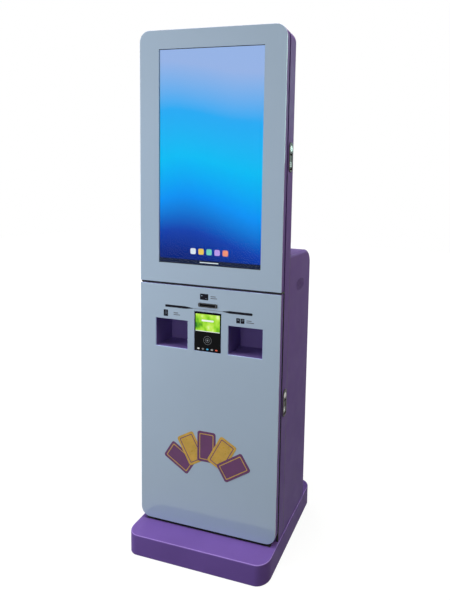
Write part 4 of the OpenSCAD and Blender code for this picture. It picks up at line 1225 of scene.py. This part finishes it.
def make_printer_front():
    """The printer's feed button and lamp, and the tear bar over its outlet."""
    panel_side = 5
    panel_h = 40
    panel_t = 1
    panel_rise = 28
    button_r = 6
    button_t = 2
    button_in = 20
    lamp_in = 36
    teeth = 28
    tooth_h = 1.8
    bar_side = 4
    bar_h = 5
    bar_t = 1.5
    bar_drop = 13
    low, high = node_box("printer_body")
    middle = (low + high) / 2
    panel_z = low.z + panel_rise
    panel_y = low.y - panel_t
    piece = Piece("printer_front")
    panel = rounded(high.x - low.x - 2 * panel_side, panel_h, 4, (middle.x, panel_z))
    piece.front(dark_case, panel, raised(low.y, panel_y, 0.5))
    piece.rod(grey_plastic, (high.x - button_in, panel_z), button_r, panel_y, panel_y - button_t, 0.6)
    piece.lamp((high.x - lamp_in, panel_z), panel_y, -1)
    bar_w = high.x - low.x - 2 * bar_side
    bar_left = middle.x - bar_w / 2
    bar_z = high.z - bar_drop
    pitch = bar_w / teeth
    saw = [(bar_left + i * pitch / 2, bar_z - (i % 2) * tooth_h) for i in range(2 * teeth + 1)]
    blade = corners(*saw, (middle.x + bar_w / 2, bar_z + bar_h), (bar_left, bar_z + bar_h))
    piece.front(zinc_steel, blade, plate(low.y, low.y - bar_t))
    piece.done("cabinet")


def make_printer_grip():
    """The ridges and the blank label on the printer's lid."""
    lid_step = 2
    ridges = 4
    ridge_half = 26
    ridge_w = 2
    ridge_h = 1.4
    ridge_pitch = 4
    label_size = (44, 30)
    label_t = 0.2
    low, high = node_box("printer_cover")
    x = node_middle("printer_body").x
    top = high.z - lid_step
    grip = Piece("printer_lid_grip")
    for row in range(ridges):
        y = low.y + (row + 1) * ridge_pitch
        grip.block(grey_plastic, (x - ridge_half, y, top), (x + ridge_half, y + ridge_w, top + ridge_h), 0.4)
    label = rounded(*label_size, 1, (x, (low.y + high.y) / 2))
    grip.solid(paper_white, on_top, label, plate(top, top + label_t))
    grip.done("printer_lid")


# CAD nodes that keep their own shape

CAD_FINISHES = {
    purple_paint: ["column_wrap", "head_back_panel", "cabinet_side_left", "cabinet_side_right",
                   "cabinet_top_wrap", "cabinet_rear_panel", "cabinet_floor", "lower_door_frame",
                   "head_door_frame", "head_door_plate"],
    tray_paint: ["tray_left", "tray_right"],
    # The sill rail is dressed dark to paint the shade in the gap under the lower door
    dark_case: ["mid_rail", "sill_rail", "card_reader_body"],
    black_zinc: ["hinge_frame_leaves", "hinge_pins", "lower_hinge_door_leaves", "head_hinge_door_leaves"],
    zinc_steel: ["base_anchor_plate", "device_shelf", "lower_door_strike", "head_door_strike",
                 "display_bars", "lower_lock_cam", "head_lock_cam", "dispenser_motor", "card_weight",
                 "computer_button"],
    rubber: ["base_feet", "lower_door_gasket", "head_door_gasket", "printer_platen",
             "dispenser_pick_roller", "dispenser_exit_roller", "dispenser_belt"],
    black_plastic: ["terminal_housing", "printer_body", "inlet_socket", "fan_frame", "fan_rotor"],
    grey_plastic: ["printer_cover", "dispenser_body"],
    red_plastic: ["inlet_rocker"],
    paper_white: ["paper_roll"],
}


def dress_cad():
    for finish, names in CAD_FINISHES.items():
        for name in names:
            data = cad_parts[name].data
            data.materials.clear()
            data.materials.append(finish.material)


# Stage, light and camera

FLOOR_HALF = 9000
# The floor is lifted to white for the eye, less so near the object, where its shadow falls
SHADOW_REACH = 1500
CLEAR_REACH = 3600
SHADOW_LIFT = 0.9


def make_floor():
    finish = Finish("studio_floor")
    grain = finish.noise(2.0, 3)
    finish.set("Base Color", finish.ramp(grain, (0.3, srgb(94, 94, 94)), (0.7, srgb(100, 100, 100))))
    finish.set("Roughness", 0.9)
    reach = finish.node("VectorMath", {0: finish.place()}, operation="LENGTH").outputs["Value"]
    lift = finish.level(reach, SHADOW_LIFT, 1.0, SHADOW_REACH * MM, CLEAR_REACH * MM)
    finish.set("Emission Color", (1, 1, 1, 1))
    finish.set("Emission Strength", finish.math("MULTIPLY", finish.seen(), lift))
    floor = bpy.data.meshes.new("floor")
    half = FLOOR_HALF * MM
    ends = [(-half, -half, 0), (half, -half, 0), (half, half, 0), (-half, half, 0)]
    floor.from_pydata(ends, [], [(0, 1, 2, 3)])
    floor.materials.append(finish.material)
    piece = bpy.data.objects.new("floor", floor)
    bpy.context.collection.objects.link(piece)


# Light of the world from the front and from behind, and what the eye sees of it
WORLD_FRONT = 0.04
WORLD_BACK = 0.08
WORLD_SEEN = 1.0


def make_world():
    world = bpy.data.worlds.new("studio")
    sky = Nodes(world, "Background")
    way = sky.node("SeparateXYZ", {"Vector": sky.node("TexCoord").outputs["Generated"]})
    depth = sky.level(way.outputs["Y"], WORLD_FRONT, WORLD_BACK, -1.0, 1.0)
    sky.set("Strength", sky.level(sky.seen(), depth, WORLD_SEEN, 0.0, 1.0))
    sky.set("Color", (1, 1, 1, 1))
    bpy.context.scene.world = world


# Name, place, target, size, power and colour of each soft lamp, and whether mirrors show it
LAMPS = (
    ("key", (-2300, -1700, 1450), (0, -100, 1000), (900, 900), 45, (0.97, 0.97, 1.0), False),
    ("front", (150, -1900, 1300), (0, -150, 1000), (900, 700), 7, (1.0, 1.0, 1.0), False),
    ("overhead", (-300, -1000, 7000), (0, -150, 0), (2400, 2400), 240, (1.0, 1.0, 1.0), True),
    ("right_fill", (2300, -300, 2900), (0, 0, 2000), (1200, 1200), 33, (1.0, 0.9, 0.58), True),
    ("rear_fill", (-1700, 2300, 1200), (0, 100, 900), (1200, 1200), 26, (1.0, 0.98, 0.94), True),
    ("head_glow", (1040, 2200, 2100), (262, 0, 1600), (800, 1150), 12, (0.5, 0.95, 0.85), True),
)


def make_lamps():
    for name, place, target, size, power, colour, mirrored in LAMPS:
        lamp = bpy.data.lights.new(name, "AREA")
        lamp.shape = "RECTANGLE"
        lamp.size, lamp.size_y = (side * MM for side in size)
        lamp.energy = power
        lamp.color = colour
        holder = bpy.data.objects.new(name, lamp)
        holder.location = Vector(place) * MM
        holder.visible_glossy = mirrored
        holder.visible_transmission = mirrored
        holder.rotation_euler = (Vector(target) - Vector(place)).to_track_quat("-Z", "Y").to_euler()
        bpy.context.collection.objects.link(holder)


# The photograph's frame and its viewing angle
PHOTO_W = 450
PHOTO_H = 600
FOCAL_PX = 442.8
CENTRE_X_PX = 342
CENTRE_Y_PX = 234.1
SENSOR = 36
CAMERA_AT = (780.8, -1464.9, 1287.3)
YAW = math.radians(13.85)
PITCH = math.radians(5.21)
ROLL = math.radians(-2.13)


def make_camera():
    lens = bpy.data.cameras.new("photo_camera")
    lens.sensor_width = SENSOR
    lens.lens = SENSOR * FOCAL_PX / PHOTO_H
    lens.shift_x = (PHOTO_W / 2 - CENTRE_X_PX) / PHOTO_H
    lens.shift_y = (CENTRE_Y_PX - PHOTO_H / 2) / PHOTO_H
    ahead = Vector((-math.sin(YAW) * math.cos(PITCH), math.cos(YAW) * math.cos(PITCH), -math.sin(PITCH)))
    right = ahead.cross(Vector((0, 0, 1))).normalized()
    down = ahead.cross(right)
    across = math.cos(ROLL) * right + math.sin(ROLL) * down
    under = math.cos(ROLL) * down - math.sin(ROLL) * right
    camera = bpy.data.objects.new("photo_camera", lens)
    turn = Matrix((across, -under, -ahead)).transposed().to_4x4()
    camera.matrix_world = Matrix.Translation(Vector(CAMERA_AT) * MM) @ turn
    bpy.context.collection.objects.link(camera)
    bpy.context.scene.camera = camera


make_base()
make_lower_glass()
make_head_glass()
make_display()
make_prints()
make_motif()
make_card_slot()
make_terminal()
make_locks()
make_louvres()
make_rear_screws()
make_fan_guard()
make_side_seam_shades()
make_groove_shades()
make_computer()
make_supply()
make_display_board()
make_reader_cover()
make_terminal_back()
make_printer_front()
make_printer_grip()
dress_cad()
make_floor()
make_world()
make_lamps()
make_camera()
bpy.context.scene.view_settings.view_transform = "Standard"
